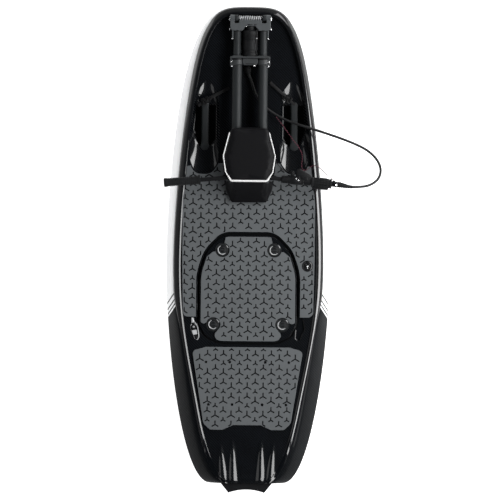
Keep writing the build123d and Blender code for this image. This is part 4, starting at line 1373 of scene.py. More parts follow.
def coil_spring():
    """A wound torsion spring across the pivot, with its two straight legs."""
    wire, per_turn = 1.7, 16
    half = SPRING_HIGH.x - 3.0
    radius = (SPRING_HIGH.z - SPRING_LOW.z) / 2 - wire
    steps = look().spring_turns * per_turn
    path = []
    for k in range(steps + 1):
        a = 2 * pi * k / per_turn
        path.append(Vector((mix(-half, half, k / steps), PIVOT.y + radius * cos(a), PIVOT.z + radius * sin(a))))
    shape = pipe(path, wire, 8)
    for side in (-1, 1):
        x = side * half
        leg = [(x, PIVOT.y + radius - 1, PIVOT.z), (x + side * 2, PIVOT.y + radius, PIVOT.z - 8),
               (x + side * 3, PIVOT.y + 2, PIVOT.z - 26)]
        shape.add(pipe(leg, wire, 8))
    return shape


CROWN_ARMS = 36.0                        # how far the crown's arms reach aft of its plate


def crown():
    """The hinged crown: a cast plate with an arch cut into its aft edge, side knuckles and two arms."""
    out, back, front = CROWN_HIGH.x, CROWN_LOW.y + CROWN_ARMS, PIVOT.y - 7.0
    half = [(43.5, front), (43.5, PIVOT.y - 19.0), (60.5, PIVOT.y - 19.0), (60.5, front + 1.0),
            (out - 0.5, front + 1.0), (out - 0.5, back + 7.0), (out - 8.0, back - 2.0), (31.0, back - 2.0),
            (18.0, back + 16.0)]
    outline = mirrored_outline(half, [3.5, 1.5, 1.5, 3.5, 3.5, 6.0, 5.0, 4.0, 6.0], 12)
    return slab(outline, CROWN_LOW.z, CROWN_HIGH.z, 3.0, 2.5, steps=4)


def crown_sides():
    """The crown's knuckles and arms, a dark rubber wiper ring round each sleeve that also stands for the shadow under
    the plate's edge, and a raised bar behind the spring.
    """
    shape = Shape()
    top, back = CROWN_HIGH.z, CROWN_LOW.y + CROWN_ARMS
    for side in (-1, 1):
        shape.add(cross_pin(side * 59.5, side * (CROWN_HIGH.x - 0.5), 13.0))
        shape.add(block(*sorted((side * 60.5, side * (CROWN_HIGH.x - 1.0))), back + 6, PIVOT.y, PIVOT.z - 11,
                        PIVOT.z + 11, 2.0, 2.0))
        shape.add(block(*sorted((side * (TUBE_X + SLEEVE_R + 0.6), side * (TUBE_X + SLEEVE_R + 6.0))), CROWN_LOW.y,
                        back + 4, PIVOT.z - 8, PIVOT.z + 9, 2.6, 1.4, 1.4))
        # a dark rubber wiper ring where the tube goes in, partly painted shadow under the plate's edge
        shape.add(lathe([(0, SLEEVE_R + 1.4), (4.4, SLEEVE_R + 1.4), (5.0, SLEEVE_R + 0.8), (5.0, SLEEVE_R)],
                        (side * TUBE_X, back, PIVOT.z), (0, -1, 0), 40, 1))
    shape.add(block(-30, 30, PIVOT.y - 20, PIVOT.y - 11.5, top - 6, top + 0.6, 2.5, 1.4))
    return shape


def crown_screws():
    shape = Shape()
    for side in (-1, 1):
        for y in (PIVOT.y - 6.0, CROWN_LOW.y + 39.5):
            shape.add(screw(side * (CROWN_HIGH.x - 0.5), y, PIVOT.z + 6.0, 4.2, 4.2, 0, (side, 0, 0)))
        shape.add(screw(side * (TUBE_X + SLEEVE_R + 3.3), CROWN_LOW.y + 3.6, PIVOT.z + 8.8, 3.4, 2.6))
    shape.add(screw(-15.5, CROWN_LOW.y + 50.0, CROWN_HIGH.z - 0.4, 2.6, 2.0))
    return shape


def slit(x0, x1, y0, y1, top, deep):
    """A cutter for a narrow slot with a broken edge."""
    outline = rounded([(x0, y0), (x1, y0), (x1, y1), (x0, y1)], [0.9] * 4, 30)
    levels = ((0, -deep), (0, -0.4), (0.4, 0.02), (0.4, 4))
    return Shape().loft([lifted(grown(outline, g), top + z) for g, z in levels])


def tube_shape(x, profile, mark=0):
    """A tube that runs aft, from distances aft of the front end of the sleeves and radii."""
    return lathe(profile, (x, SLEEVE_HIGH.y, PIVOT.z), (0, -1, 0), 48, mark)


def damper():
    """The damper between the tubes: a ribbed barrel with a domed front, an adjuster and its cable."""
    front, back, z = DAMPER_HIGH.y, DAMPER_LOW.y, PIVOT.z
    radius = (DAMPER_HIGH.x - DAMPER_LOW.x) / 2
    long = front - back
    profile = [(0, 14.0), (2.0, 15.6), (14.5, 16.0), (17.0, 21.0), (19.0, radius - 2.0), (22.0, radius)]
    for k in range(7):
        at = 30.0 + 4.0 * k
        profile += [(at, radius), (at + 0.5, radius - 1.2), (at + 1.7, radius - 1.2), (at + 2.2, radius)]
    profile += [(long - 22, radius), (long - 20, radius - 2.0), (long - 12, radius - 2.0), (long - 10, radius - 0.4),
                (long, radius - 0.4)]
    shape = lathe(profile, (0, front, z), (0, -1, 0), 56)
    rod_z = z + 18.0
    shape.add(pin((24.0, front - 14, rod_z), (24.0, front - 46, rod_z), 3.0, 0.8, 18, 1))
    shape.add(lathe([(0, 2.6), (3, 3.0), (4.4, 2.4), (5, 1.0)], (24.0, front - 44, rod_z), (0, -1, 0), 20, 2))
    hose = [Vector((24 - 6 * sin(k * 0.42), front - 52 - 7.2 * k, rod_z + 3 * sin(k * 0.5))) for k in range(9)]
    shape.add(pipe(hose, 2.2, 10, 1))
    return shape


def mid_clamp():
    """The clamp at the mouth of the outer tubes: a waved flange, side lugs, a bridge between the tubes, and a black
    rubber ring under the flange round each tube, which is painted shade of the gap there.
    """
    out, front, back = CLAMP_HIGH.x, CLAMP_HIGH.y, CLAMP_LOW.y
    z, flange = PIVOT.z, CLAMP_HIGH.y - 10.0
    half = [(7.0, front), (14.0, front - 2.4), (27.0, front - 2.4), (35.0, front), (63.0, front), (out, front - 4.0),
            (out, flange), (30.0, flange)]
    outline = mirrored_outline(half, [6.0, 5.0, 5.0, 6.0, 9.0, 3.2, 3.2, 0], 12)
    shape = slab(outline, CLAMP_LOW.z, CLAMP_HIGH.z, 2.6, 2.6, steps=4)
    for side in (-1, 1):
        shape.add(block(*sorted((side * 62.0, side * out)), back, flange + 2, z - 11, z + 13, 3.0, 2.4, 2.0))
        shape.add(lathe([(0, TUBE_R + 3.6), (2.0, TUBE_R + 4.2), (20.0, TUBE_R + 3.8), (24.0, TUBE_R + 0.3)],
                        (side * TUBE_X, flange - 2.0, z), (0, -1, 0), 48))
        # painted shade: a black rubber ring round each tube just under the flange, where the gap is in shade
        shape.add(lathe([(0, TUBE_R + 3.0), (0.6, TUBE_R + 4.6), (6.0, TUBE_R + 4.6), (6.6, TUBE_R + 3.0)],
                        (side * TUBE_X, flange - 0.5, z), (0, -1, 0), 48, 1))
    bridge = [(28.0, flange + 1), (30.0, back + 12.0), (23.0, back + 3.0)]
    shape.add(slab(mirrored_outline(bridge, [0.5, 3.0, 3.0]), z - 15, z + 15, 2.4, 2.0, steps=4))
    return shape


def clamp_screws():
    shape = Shape()
    for side in (-1, 1):
        shape.add(screw(side * (CLAMP_HIGH.x - 6.0), CLAMP_LOW.y + 15.0, PIVOT.z + 12.4, 3.6, 2.4))
        shape.add(screw(side * (CLAMP_HIGH.x - 7.0), CLAMP_LOW.y + 0.6, PIVOT.z + 5.0, 4.4, 4.4, 0, (0, -1, 0.5)))
    shape.add(screw(16.0, CLAMP_LOW.y + 1.0, PIVOT.z + 14.4, 3.6, 2.4))
    return shape


class BOARD_OT_pole(bpy.types.Operator):
    """Build the folding pole: hinge, spring, crown, telescopic tubes, damper and mid clamp"""
    bl_idname = "jet_board.pole"
    bl_label = "Handle pole"

    def execute(self, context):
        dress("pole_base", "anodised", 1.2)
        pole = "handle_pole"
        # the pin inside the spring takes the near-black groove paint: painted shade inside the coils
        hinge = cross_pin(PIVOT_LOW.x, PIVOT_HIGH.x, 5.8).add(cross_pin(SPRING_LOW.x + 1, SPRING_HIGH.x - 1, 6.0, 1))
        make_piece("hinge_pin", hinge, ["steel", "groove"], "hull", ["pivot_shaft"])
        make_piece("coil_spring", coil_spring(), ["spring_steel"], "hull", ["torsion_spring"],
                   sharp=60)
        plate = make_piece("crown_plate", crown(), ["cast_alloy", "groove"], pole, ["pole_crown"])
        slits = Shape()
        slits.add(slit(-11.0, 8.0, CROWN_LOW.y + 55.5, CROWN_LOW.y + 57.7, CROWN_HIGH.z, 2.0))
        slits.add(slit(13.0, 23.0, CROWN_LOW.y + 55.8, CROWN_LOW.y + 57.5, CROWN_HIGH.z, 2.0))
        # the slits' walls take the near-black groove paint: painted shade
        carve(plate, [slits.marked(1)])
        settle_normals(plate)
        sides = make_piece("crown_knuckles", crown_sides(), ["cast_alloy", "rubber"], pole)
        settle_normals(sides)
        make_piece("crown_screws", crown_screws(), ["chrome"], pole)
        bare = SLEEVE_HIGH.y - CLAMP_HIGH.y
        lap, mouth, end = SLEEVE_HIGH.y - SLEEVE_LOW.y, SLEEVE_HIGH.y - TUBE_HIGH.y, SLEEVE_HIGH.y - TUBE_LOW.y
        r, R = SLEEVE_R, TUBE_R
        for side, word in SIDES:
            x = side * TUBE_X
            sleeve = tube_shape(x, [(0, r), (8, r), (8.4, r - 0.3), (9.6, r - 0.3), (10, r), (bare - 9, r),
                                    (bare - 8.6, r - 0.3), (bare - 7.4, r - 0.3), (bare - 7, r), (lap, r)])
            sleeve.add(tube_shape(x, [(bare + 5.2, r + 0.1), (bare + 5.6, R - 0.9), (mouth + 0.6, R - 0.6),
                                      (mouth + 1.2, r + 0.1)], 1))
            make_piece(f"inner_sleeve_{word}", sleeve, ["anodised", "rubber"], pole,
                       [f"inner_tube_{word}"])
            outer = tube_shape(x, [(mouth, R - 1.0), (mouth + 1.0, R), (end - 4, R), (end - 3.4, R - 0.4),
                                   (end - 2.6, R - 0.4), (end - 2, R), (end - 0.8, R), (end, R - 0.9),
                                   (end + 0.4, R - 5.0), (end - 1.0, R - 6.0), (end - 1.0, 0)])
            make_piece(f"outer_sleeve_{word}", outer, ["anodised"], pole, [f"outer_tube_{word}"])
        make_piece("damper_barrel", damper(), ["rubber", "plastic", "silver"], pole,
                   ["pole_damper"])
        clamp = make_piece("clamp_flange", mid_clamp(), ["clamp_alloy", "rubber"], pole, ["mid_clamp"])
        settle_normals(clamp)
        make_piece("clamp_screws", clamp_screws(), ["chrome"], pole)
        # a thin black rubber strip on top of the bridge: the painted shade of a slot, with no slot cut
        slot_shade_strip = block(-17, 17, CLAMP_LOW.y + 6.5, CLAMP_LOW.y + 9.2, PIVOT.z + 14.0, PIVOT.z + 15.5, 1.2, 0.4)
        make_piece("bridge_slot_shade", slot_shade_strip, ["rubber"], pole)
        return {"FINISHED"}


# --- Handlebar, throttle and chin pad ---------------------------------------------------------------------
HANDLEBAR_Y, HANDLEBAR_Z = 271.0, 222.0
BEND_X, SWEEP = 80.0, tan(radians(5.0))  # where the handlebar bends, and how far aft it goes for each mm outwards
GRIP_X, CLAMP_X, TRIGGER_X, BARREL_X, SOCKET_X, BOOT_X = -184.0, 122.0, 206.5, 234.0, 312.0, 334.0


def bar_point(x):
    """A point on the handlebar's axis, which sweeps aft beyond its bends."""
    return Vector((x, HANDLEBAR_Y - max(abs(x) - BEND_X, 0.0) * SWEEP, HANDLEBAR_Z))


def on_bar(x0, profile):
    """A turned piece on the straight outer part of the handlebar, outwards from x0."""
    start = bar_point(x0)
    side = 1 if x0 > 0 else -1
    return lathe(profile, start, bar_point(x0 + side * 50) - start, 40)


def handlebar():
    path = [bar_point(-318)] + [bar_point(-x) for x in (260, 200, 140, 110)]
    for k in range(11):
        x = mix(-95, 95, k / 10)
        over = max(0.0, abs(x) - BEND_X) * SWEEP
        path.append(Vector((x, HANDLEBAR_Y - over * 0.6, HANDLEBAR_Z)))
    path += [bar_point(x) for x in (110, 140, 200, 260, 306)]
    return pipe(path, 8.0, 28)


def left_grip():
    """A ribbed rubber grip with a collar at its inner end and a flared outer end."""
    shape = on_bar(GRIP_X, [(0, 9.0), (0, 17.6), (1.0, 19.0), (6.8, 19.0), (8.0, 18.0), (8.6, 15.6)])
    profile = [(8.4, 14.8), (12, 15.6)]
    for k in range(15):
        at = 14.0 + 7.2 * k
        profile += [(at, 15.8), (at + 1.0, 14.9), (at + 2.4, 14.9), (at + 3.4, 15.8), (at + 5.2, 16.0)]
    profile += [(123, 15.6), (126, 16.4), (134, 17.2), (137.0, 16.4), (138.4, 13.0), (138.8, 0)]
    return shape.add(on_bar(GRIP_X, profile))


def throttle_body():
    """The clamp of the throttle: a ribbed sleeve with a switch button and two screws."""
    profile = [(0, 8.2), (0, 12.6), (1.5, 14.4)]
    for k in range(4):
        at = 4.0 + 6.4 * k
        profile += [(at, 15.0), (at + 1.0, 13.8), (at + 2.4, 13.8), (at + 3.4, 15.0)]
    profile += [(34, 15.0), (36, 16.2), (58, 16.6), (62, 15.4), (82, 15.0), (83.5, 14.0), (84.0, 8.2)]
    shape = on_bar(CLAMP_X, profile)
    x, y, z = 163.0, HANDLEBAR_Y + 20.0, HANDLEBAR_Z
    button = [(-8, 9.0), (6, 9.0), (8.0, 8.2), (8.6, 6.6), (7.6, 6.0), (7.8, 4.0), (10.0, 3.6), (10.8, 2.2), (11, 0)]
    shape.add(lathe(button, (x, y, z), (0, 0, 1), 36))
    shape.add(block(x - 7, x + 8, HANDLEBAR_Y - 6, y + 1, z - 6, z + 7.0, 2.5, 2.0, 1.5))
    for dx, dy in ((15.0, 4.0), (22.5, -2.0)):
        shape.add(screw(x + dx, HANDLEBAR_Y + dy - 6, z + 15.0, 3.2, 2.6, 1))
    shape.add(block(x + 10, x + 30, HANDLEBAR_Y - 18, HANDLEBAR_Y + 6, z + 4, z + 15.4, 3.0, 2.4, 1.0))
    return shape


def throttle_trigger():
    """The throttle's lever: a smooth paddle that leans out ahead of the grip."""
    z = HANDLEBAR_Z
    root = on_bar(TRIGGER_X, [(0, 8.2), (0, 12.6), (1.4, 14.0), (25.6, 14.0), (27, 12.6), (27, 8.2)])
    outline = rounded([(176, 262), (178, 303), (190, 308), (204, 301), (232, 284), (238, 276), (228, 264)],
                      [4, 7, 7, 10, 8, 4, 4], 12)
    root.add(slab(outline, z - 7.0, z + 11.5, 4.5, 3.0, steps=4))
    root.add(block(196, 222, 262, 276, z + 6, z + 15.0, 4.0, 3.0, 1.0))
    return root


def throttle_grip():
    """The ribbed rubber barrel of the throttle, with moulded bands and a thumb step."""
    shape = on_bar(BARREL_X, [(0, 8.2), (0, 16.0), (1.5, 18.4), (7.0, 18.8), (8.5, 17.6), (9.0, 16.4), (70, 16.2),
                              (71, 17.6), (72.5, 18.8), (76.6, 18.6), (78, 16.6), (78, 9.0)])
    axis = (bar_point(300) - bar_point(BARREL_X)).normalized()
    aside, up = frame_at(axis)
    ribs = 14
    for k in range(ribs):
        a = 2 * pi * k / ribs
        way = aside * cos(a) + up * sin(a)
        start = bar_point(BARREL_X) + axis * 9.5 + way * 16.2
        end = bar_point(BARREL_X) + axis * 69.5 + way * 16.4
        middle = [start.lerp(end, t) + way * 1.1 * sin(pi * t) for t in (0, 0.15, 0.5, 0.85, 1)]
        shape.add(pipe(middle, [1.2, 2.2, 2.4, 2.2, 1.2], 8))
    for k in range(5):
        at = 16.0 + 11.0 * k
        shape.add(on_bar(BARREL_X, [(at, 16.0), (at + 0.8, 18.0), (at + 2.6, 18.0), (at + 3.4, 16.0)]))
    thumb = rounded([(236, 232), (268, 229), (300, 227), (298, 240), (240, 246)], [5, 8, 5, 5, 6], 12)
    return shape.add(slab(thumb, HANDLEBAR_Z - 9, HANDLEBAR_Z + 3, 3.0, 2.0))


def plug_socket():
    """The threaded coupling in the end of the throttle, with its thumb nut standing proud."""
    profile = [(0, 6.0), (0, 9.4), (1.0, 10.8)]
    for k in range(5):
        at = 2.4 + 2.2 * k
        profile += [(at, 11.0), (at + 1.1, 9.8)]
    profile += [(14, 10.8), (19, 10.8), (20.5, 9.8), (22, 8.6), (22, 0)]
    shape = on_bar(SOCKET_X, profile)
    spot = bar_point(SOCKET_X + 10)
    shape.add(lathe([(4, 4.6), (12.5, 4.6), (14, 4.0), (14.6, 2.8), (14.6, 0)], spot, (-0.1, 1, 0.35), 24))
    screw_head = [(0, 3.4), (4.5, 3.4), (5.2, 2.6), (5.2, 0)]
    return shape.add(lathe(screw_head, spot + Vector((6, -3, 8)), (0.3, 0, 1), 20, 1))


def cable_boot():
    """A ribbed rubber boot that turns the cable out of the coupling and tapers onto it."""
    start, end = bar_point(BOOT_X), Vector(CABLE[-1])
    way = (Vector(CABLE[-2]) - end).normalized()
    reach = (end - start).length
    lead = (start - bar_point(SOCKET_X)).normalized()
    steps = 26
    path, radii = [], []
    for k in range(steps + 1):
        t = k / steps
        path.append(start * (1 - t) ** 3 + (start + lead * reach * 0.35) * 3 * t * (1 - t) ** 2
                    + (end - way * reach * 0.35) * 3 * t * t * (1 - t) + end * t**3)
        body = mix(10.6, 6.0, smooth(t * 1.05))
        ribbed = 1 < k < steps - 2
        radii.append(body + (0.8 if k % 3 else -0.7) * (1 - t * 0.6) if ribbed else body)
    return pipe(path, radii, 28)


CHIN_CORNERS = [(66.0, 191.0), (74.0, 179.0), (99.0, 83.0), (90.0, 22.0), (68.0, -12.0)]
CHIN_RADII = [8, 10, 16, 12, 10]
CHIN_RAKE = 88.0
COVER_VOXEL, SWELL_FRAMES = 4.5, 20


def chin_outline(t, grow):
    """The pad's outline at a share of its height, which leans aft towards its base."""
    front, back = HANDLEBAR_Y + CHIN_CORNERS[0][1], HANDLEBAR_Y + CHIN_CORNERS[-1][1]
    outline = mirrored_outline([(x, HANDLEBAR_Y + y) for x, y in CHIN_CORNERS], CHIN_RADII)
    leant = [(x, y - CHIN_RAKE * (1 - t) * (front - y) / (front - back)) for x, y in outline]
    return grown(leant, grow)


def even(outline, spacing):
    """An outline with extra points, so that no two neighbours are further apart than a spacing."""
    made = []
    for a, b in zip(outline, outline[1:] + outline[:1]):
        parts = max(1, ceil(hypot(b[0] - a[0], b[1] - a[1]) / spacing))
        made += [(mix(a[0], b[0], k / parts), mix(a[1], b[1], k / parts)) for k in range(parts)]
    return made


def chin_core(shrink):
    """The foam wedge before it is covered, a little smaller than it will be once it has swelled."""
    low, high = CHIN_LOW.z, CHIN_HIGH.z
    levels = ((0, -3), (0.02, -1), (0.06, 0), (0.3, 0), (0.6, 0), (0.9, 0), (0.965, -0.8), (0.99, -2.6), (1, -6))
    rings = []
    for t, grow in levels:
        outline = chin_outline(t, grow - shrink)
        rings.append(lifted(outline, mix(low + shrink, high - shrink, t)))
    return Shape().loft(rings)


def chin_hollows():
    """Cutters for the room that the tubes, the bar's head and the bar take inside the pad."""
    room = TUBE_X + TUBE_R + 0.6
    below = 100.0
    tubes = block(-room, room, 230.0, 482.0, below, PIVOT.z + TUBE_R + 0.6, 2, 0)
    head = block(-73.6, 73.6, HANDLEBAR_Y - 20.6, HANDLEBAR_Y + 20.6, below, 236.8, 2, 0)
    bar = block(-160, 160, HANDLEBAR_Y - 14.5, HANDLEBAR_Y + 10.5, below, HANDLEBAR_Z + 8.6, 2, 0)
    return [tubes, head, bar]


def swell_cover(piece, cap, pressure):
    """Blows a closed cover up with cloth, and keeps every point within a distance of where it began."""
    remesh = piece.modifiers.new("even", "REMESH")
    remesh.mode, remesh.voxel_size, remesh.use_smooth_shade = "VOXEL", COVER_VOXEL * MM, True
    keep_result(piece)
    start = [v.co.copy() for v in piece.data.vertices]
    cloth = piece.modifiers.new("cloth", "CLOTH")
    cloth.settings.use_pressure, cloth.settings.uniform_pressure_force = True, pressure
    cloth.settings.effector_weights.gravity = 0.0
    cloth.settings.quality = 5
    cloth.settings.tension_stiffness = cloth.settings.compression_stiffness = 20.0
    cloth.settings.bending_stiffness = 2.0
    cloth.point_cache.frame_start, cloth.point_cache.frame_end = 1, SWELL_FRAMES
    scene = bpy.context.scene
    for number in range(1, SWELL_FRAMES + 1):
        scene.frame_set(number)
    keep_result(piece)
    scene.frame_set(1)
    for point, home in zip(piece.data.vertices, start):
        moved = point.co - home
        if moved.length > cap * MM:
            point.co = home + moved.normalized() * cap * MM


def chin_edge(grow, drop):
    """The line of the pad's upper edge, from the front corner on one side round to the other."""
    outline = even(chin_outline(0.985, grow), 6.0)
    front = HANDLEBAR_Y + CHIN_CORNERS[1][1] - 3.0
    start = next(i for i in range(len(outline)) if outline[i - 1][1] > front >= outline[i][1])
    turned = outline[start:] + outline[:start]
    return [Vector((x, y, CHIN_HIGH.z - drop)) for x, y in turned if y <= front]


class BOARD_OT_bars(bpy.types.Operator):
    """Build the handlebar with its grip, the throttle, the cable's coupling and its boot"""
    bl_idname = "jet_board.bars"
    bl_label = "Handlebar and throttle"

    def execute(self, context):
        dress("bar_clamp", "cast_alloy", 1.5)
        for name, shape, finishes, slot, node, sharp in (
                ("handlebar_tube", handlebar(), ["plastic"], "black_plastic", "handlebar", 50),
                ("rubber_grip", left_grip(), ["rubber"], "rubber_black", "grip_left", 30),
                ("throttle_body", throttle_body(), ["plastic", "chrome"], "black_plastic", "throttle_clamp", 30),
                ("throttle_trigger", throttle_trigger(), ["plastic"], "black_plastic", "throttle_lever", 30),
                ("throttle_barrel", throttle_grip(), ["rubber"], "rubber_black", "throttle_grip", 30),
                ("plug_coupling", plug_socket(), ["plastic", "chrome"], "black_plastic", "cable_socket", 30),
                ("strain_boot", cable_boot(), ["rubber"], "rubber_black", "cable_boot", 50)):
            make_piece(name, shape, finishes, "handle_pole", [node], sharp)
        return {"FINISHED"}


class BOARD_OT_chin_pad(bpy.types.Operator):
    """Build the padded cover over the handlebar's clamp, and the piping round its edge"""
    bl_idname = "jet_board.chin_pad"
    bl_label = "Chin pad"

    def execute(self, context):
        cushion = make_piece("chin_cushion", chin_core(2.0), ["cover"], "handle_pole", ["chin_pad"])
        carve(cushion, chin_hollows())
        swell_cover(cushion, 2.6, 4.0)
        cushion.data.shade_smooth()
        edge = chin_edge(-1.2, 3.6)
        back = min(p.y for p in edge)
        full = look().piping_width / MM
        wide = [mix(full * 0.9, full * 0.5, smooth((p.y - back) / 26.0)) for p in edge]
        wide[0] = wide[-1] = wide[0] * 0.5
        make_piece("chin_piping", pipe(edge, wide, 12), ["piping"], "handle_pole", sharp=60)
        return {"FINISHED"}


# --- Cords ----------------------------------------------------------------------------------------------------
def spline_points(route):
    """Points along the smooth line that a cord takes through its control points, in millimetres."""
    curve = bpy.data.curves.new("line", "CURVE")
    curve.dimensions, curve.resolution_u = "3D", 14
    spline = curve.splines.new("NURBS")
    spline.points.add(len(route) - 1)
    for point, place in zip(spline.points, route):
        point.co = (*(c * MM for c in place), 1.0)
    spline.order_u = 3
    spline.use_endpoint_u = True
    line = bpy.data.objects.new("line", curve)
    bpy.context.scene.collection.objects.link(line)
    mesh = evaluated_mesh(line)
    points = [v.co / MM for v in mesh.vertices]
    bpy.data.objects.remove(line)
    bpy.data.curves.remove(curve)
    bpy.data.meshes.remove(mesh)
    return points


def cord_piece(name, shape, materials, slot, node, points, **facts):
    cord = make_piece(name, shape, materials, "handle_pole", [node], sharp=70, rides="bend" not in facts)
    bend = facts.pop("bend", None)
    if bend:
        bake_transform(cord)
    return cord


def strand(points, radius, away, turn, start):
    """One strand that winds round a cord's line."""
    path, walked = [], 0.0
    aside, up = frame_at(points[1] - points[0])
    for i, here in enumerate(points):
        ahead, behind = points[min(i + 1, len(points) - 1)], points[max(i - 1, 0)]
        forward = (ahead - behind).normalized()
        aside = (aside - forward * aside.dot(forward)).normalized()
        up = aside.cross(forward)
        a = start + 2 * pi * walked / turn
        path.append(here + aside * away * cos(a) + up * away * sin(a))
        walked += (ahead - here).length
    return pipe(path, radius, 6)


def closer(points, step):
    """The same line with points no further apart than a step."""
    made = [points[0]]
    for a, b in zip(points, points[1:]):
        parts = max(1, ceil((b - a).length / step))
        made += [a.lerp(b, k / parts) for k in range(1, parts + 1)]
    return made


class BOARD_OT_cords(bpy.types.Operator):
    """Lay the throttle cable, the kill cord and the switch's lead"""
    bl_idname = "jet_board.cords"
    bl_label = "Cords"

    def execute(self, context):
        cable = spline_points(CABLE)
        cord_piece("throttle_cord", pipe(cable, 5.0, 16), ["cable_black"], "cable_black", "throttle_cable", cable,
                   diameter=0.010, far_end="object", stiffness="medium", lay="loose",
                   bend=((20, 600, 160), (400, 260, 220)))
        tether = spline_points(KILL_CORD)
        fine = closer(tether, 1.6)
        shape = Shape()
        for k, mark in enumerate((0, 1, 1)):
            shape.add(strand(fine, 0.7, 0.8, 9.0, pi * 2 * k / 3).marked(mark))
        cord_piece("kill_line", shape, ["cord_red", "cord_dark"], "cord_red", "kill_cord", tether, diameter=0.003,
                   far_end="object", stiffness="limp", lay="loose", bend=((130, 470, 160), (300, 280, 195)))
        lead = spline_points(SWITCH_LEAD)
        cord_piece("switch_line", pipe(lead, 1.5, 10), ["cable_black"], "cable_black", "switch_lead", lead,
                   diameter=0.003, far_end="object", stiffness="limp", lay="loose")
        return {"FINISHED"}


# --- Stage ------------------------------------------------------------------------------------------------
def softbox(name, place, aim, size, power):
    light = bpy.data.lights.new(name, "AREA")
    light.shape, light.size, light.size_y, light.energy = "RECTANGLE", size[0], size[1], power
    lamp = bpy.data.objects.new(name, light)
    bpy.context.scene.collection.objects.link(lamp)
    lamp.location = place
    lamp.rotation_mode = "QUATERNION"
    lamp.rotation_quaternion = (Vector(aim) - Vector(place)).to_track_quat("-Z", "Y")
    return lamp


def grey(level):
    return (level, level, level)


def studio_sky(world):
    """A white room with a dark ceiling, so that level gloss stays black from above."""
    sky = Nodes(world)
    height = sky.node("ShaderNodeSeparateXYZ", {}, {0: sky.node("ShaderNodeTexCoord")}, output=2)
    stops = [(0.0, grey(0.8)), (0.2, grey(0.5)), (0.6, grey(0.1)), (1.0, grey(0.01))]
    background = sky.tree.nodes["Background"]
    sky.feed(background.inputs[0], sky.node("ShaderNodeValToRGB", {"stops": stops}, {0: height}))
    sky.feed(background.inputs[1], look().sky_power)


def make_floor():
    half, low = 14.0, -0.5 * MM          # just under the board's flat bottom
    mesh = bpy.data.meshes.new("floor")
    mesh.from_pydata([(-half, -half, low), (half, -half, low), (half, half, low), (-half, half, low)], [],
                     [(0, 1, 2, 3)])
    floor = bpy.data.objects.new("floor", mesh)
    bpy.context.scene.collection.objects.link(floor)
    ground = Surface("floor_paint", grey(0.7), 0.9)
    ground.set(base_color=ground.blend(ground.noise(900.0), grey(0.69), grey(0.71)),
               emission_color=grey(1.0), emission_strength=1.1)
    mesh.materials.append(ground.material)


def make_camera():
    """A camera that looks straight down from far above."""
    camera_data = bpy.data.cameras.new("camera")
    camera_data.lens, camera_data.sensor_width, camera_data.clip_end = 400.0, 36.0, 60.0
    distance = look().view_width / 2 / (camera_data.sensor_width / 2 / camera_data.lens)
    camera = bpy.data.objects.new("camera", camera_data)
    camera.location = (look().view_x, look().view_y, distance + FLOOR_Z * MM)
    camera.rotation_euler = (0.0, 0.0, look().view_roll)
    bpy.context.scene.collection.objects.link(camera)
    bpy.context.scene.camera = camera


# each softbox: where it stands, what it faces, its size, its share of the main light, and what it leaves out
SOFTBOXES = {
    "right_strip": ((1.9, 0.0, 2.5), (0, 0, 0), (4.6, 1.0), 1.05, ""),
    "right_box": ((4.0, 0.0, 1.4), (0, 0, 0.1), (4.4, 0.9), 1.1, "visible_diffuse"),
    "nose_box": ((2.6, 3.4, 1.5), (0, 0.7, 0.1), (2.4, 1.4), 0.34, ""),
    "lobe_card": ((2.3, 2.9, 2.9), (0, 0.45, 0.1), (2.4, 1.8), 0.3, ""),
    "left_strip": ((-2.1, 0.0, 2.8), (0, 0, 0), (4.6, 0.5), 0.06, ""),
    "left_fill": ((-2.4, 0.0, 3.3), (0, 0, 0), (5.0, 2.0), 0.32, "visible_glossy"),
}


class BOARD_OT_stage(bpy.types.Operator):
    """Make the floor, the lights and the camera"""
    bl_idname = "jet_board.stage"
    bl_label = "Stage"

    def execute(self, context):
        make_floor()
        context.scene.world = bpy.data.worlds.new("world")
        studio_sky(context.scene.world)
        for name, (place, aim, size, share, unseen_by) in SOFTBOXES.items():
            lamp = softbox(name, place, aim, size, look().key_power * share)
            if unseen_by:
                setattr(lamp, unseen_by, False)
        make_camera()
        context.scene.view_settings.view_transform = "Standard"
        return {"FINISHED"}


# --- Add-on -------------------------------------------------------------------------------------------------
def length(name, description, default):
    return FloatProperty(name=name, description=description, default=default * MM, unit="LENGTH")


def color(name, description, default):
    return FloatVectorProperty(name=name, description=description, default=default, subtype="COLOR", min=0, max=1)


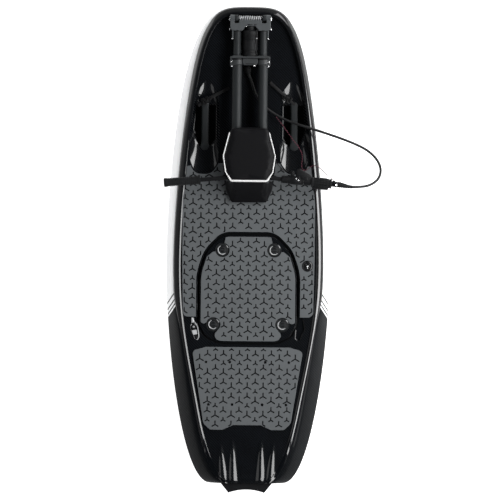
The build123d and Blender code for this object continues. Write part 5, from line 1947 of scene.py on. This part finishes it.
class JetBoardSettings(bpy.types.PropertyGroup):
    """Sizes and colours of the finished surfaces"""
    rail_width: length("Rail width", "Width of the black rail inside the shoulder, amidships", 24.0)
    scoop_depth: length("Scoop depth", "Depth of the bowl of each carry pocket", 17.0)
    tow_width: length("Tow width", "Width of one tow in the carbon twill", 2.6)
    star_pitch: length("Star columns", "Distance between two columns of grooves in the pads", 30.2)
    star_row: length("Star rows", "Distance between two grooves along a column", 35.73)
    star_arm: length("Star arm", "Length of an arm of the largest groove", 17.5)
    groove_width: length("Groove width", "Width of the grooves in the pads", 3.5)
    groove_depth: length("Groove depth", "Depth of the grooves in the pads", 2.4)
    piping_width: length("Piping width", "Width of the piping round the chin pad along its sides", 4.2)
    spring_turns: IntProperty(name="Spring turns", description="Turns of the torsion spring", default=12, min=3)
    carbon_color: color("Carbon", "Darkest tone of the carbon", (0.0008, 0.001, 0.0013))
    flank_color: color("Flank", "Colour of the hull's flanks", (0.94, 0.95, 0.96))
    foam_color: color("Foam", "Colour of the deck pads", (0.101, 0.109, 0.1145))
    tube_color: color("Tubes", "Colour of the anodised tubes", (0.0155, 0.018, 0.0195))
    cast_color: color("Castings", "Colour of the cast fittings", (0.058, 0.064, 0.068))
    cover_color: color("Cover", "Colour of the chin pad's cover", (0.0019, 0.0019, 0.0028))
    piping_color: color("Piping", "Colour of the chin pad's piping", (0.86, 0.86, 0.86))
    cord_color: color("Kill cord", "Colour of the kill cord", (0.2, 0.04, 0.07))
    key_power: FloatProperty(name="Key light", description="Power of the main softbox", default=112, unit="POWER")
    sky_power: FloatProperty(name="Room light", description="Brightness of the white room", default=0.5)
    view_width: FloatProperty(name="View width", description="Width of the view at the deck", default=1.895,
                              unit="LENGTH")
    view_x: FloatProperty(name="View middle, across", description="How far to the right the view's middle lies",
                          default=0.006, unit="LENGTH")
    view_y: FloatProperty(name="View middle", description="How far forward the view's middle lies", default=-0.0015,
                          unit="LENGTH")
    view_roll: FloatProperty(name="View roll", description="Turn of the camera about its own axis", default=0.0092,
                             unit="ROTATION")


OPERATORS = [BOARD_OT_stage, BOARD_OT_cords, BOARD_OT_hull, BOARD_OT_pads, BOARD_OT_hatch, BOARD_OT_fittings,
             BOARD_OT_drive, BOARD_OT_pole, BOARD_OT_bars, BOARD_OT_chin_pad]


class BOARD_PT_build(bpy.types.Panel):
    """Lists what can be built, and the sizes and colours it is built with"""
    bl_label = "Jet-powered surfboard"
    bl_idname = "BOARD_PT_build"
    bl_space_type = "VIEW_3D"
    bl_region_type = "UI"
    bl_category = "Jet Board"

    def draw(self, context):
        for cls in OPERATORS:
            self.layout.operator(cls.bl_idname)
        for name in JetBoardSettings.__annotations__:
            self.layout.prop(context.scene.jet_board, name)


CLASSES = [JetBoardSettings, *OPERATORS, BOARD_PT_build]


def register():
    for cls in CLASSES:
        bpy.utils.register_class(cls)
    bpy.types.Scene.jet_board = PointerProperty(type=JetBoardSettings)


def unregister():
    del bpy.types.Scene.jet_board
    for cls in reversed(CLASSES):
        bpy.utils.unregister_class(cls)


def main():
    register()
    for cls in OPERATORS:
        getattr(bpy.ops.jet_board, cls.bl_idname.split(".")[1])()
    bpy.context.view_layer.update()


if __name__ == "__main__":
    main()
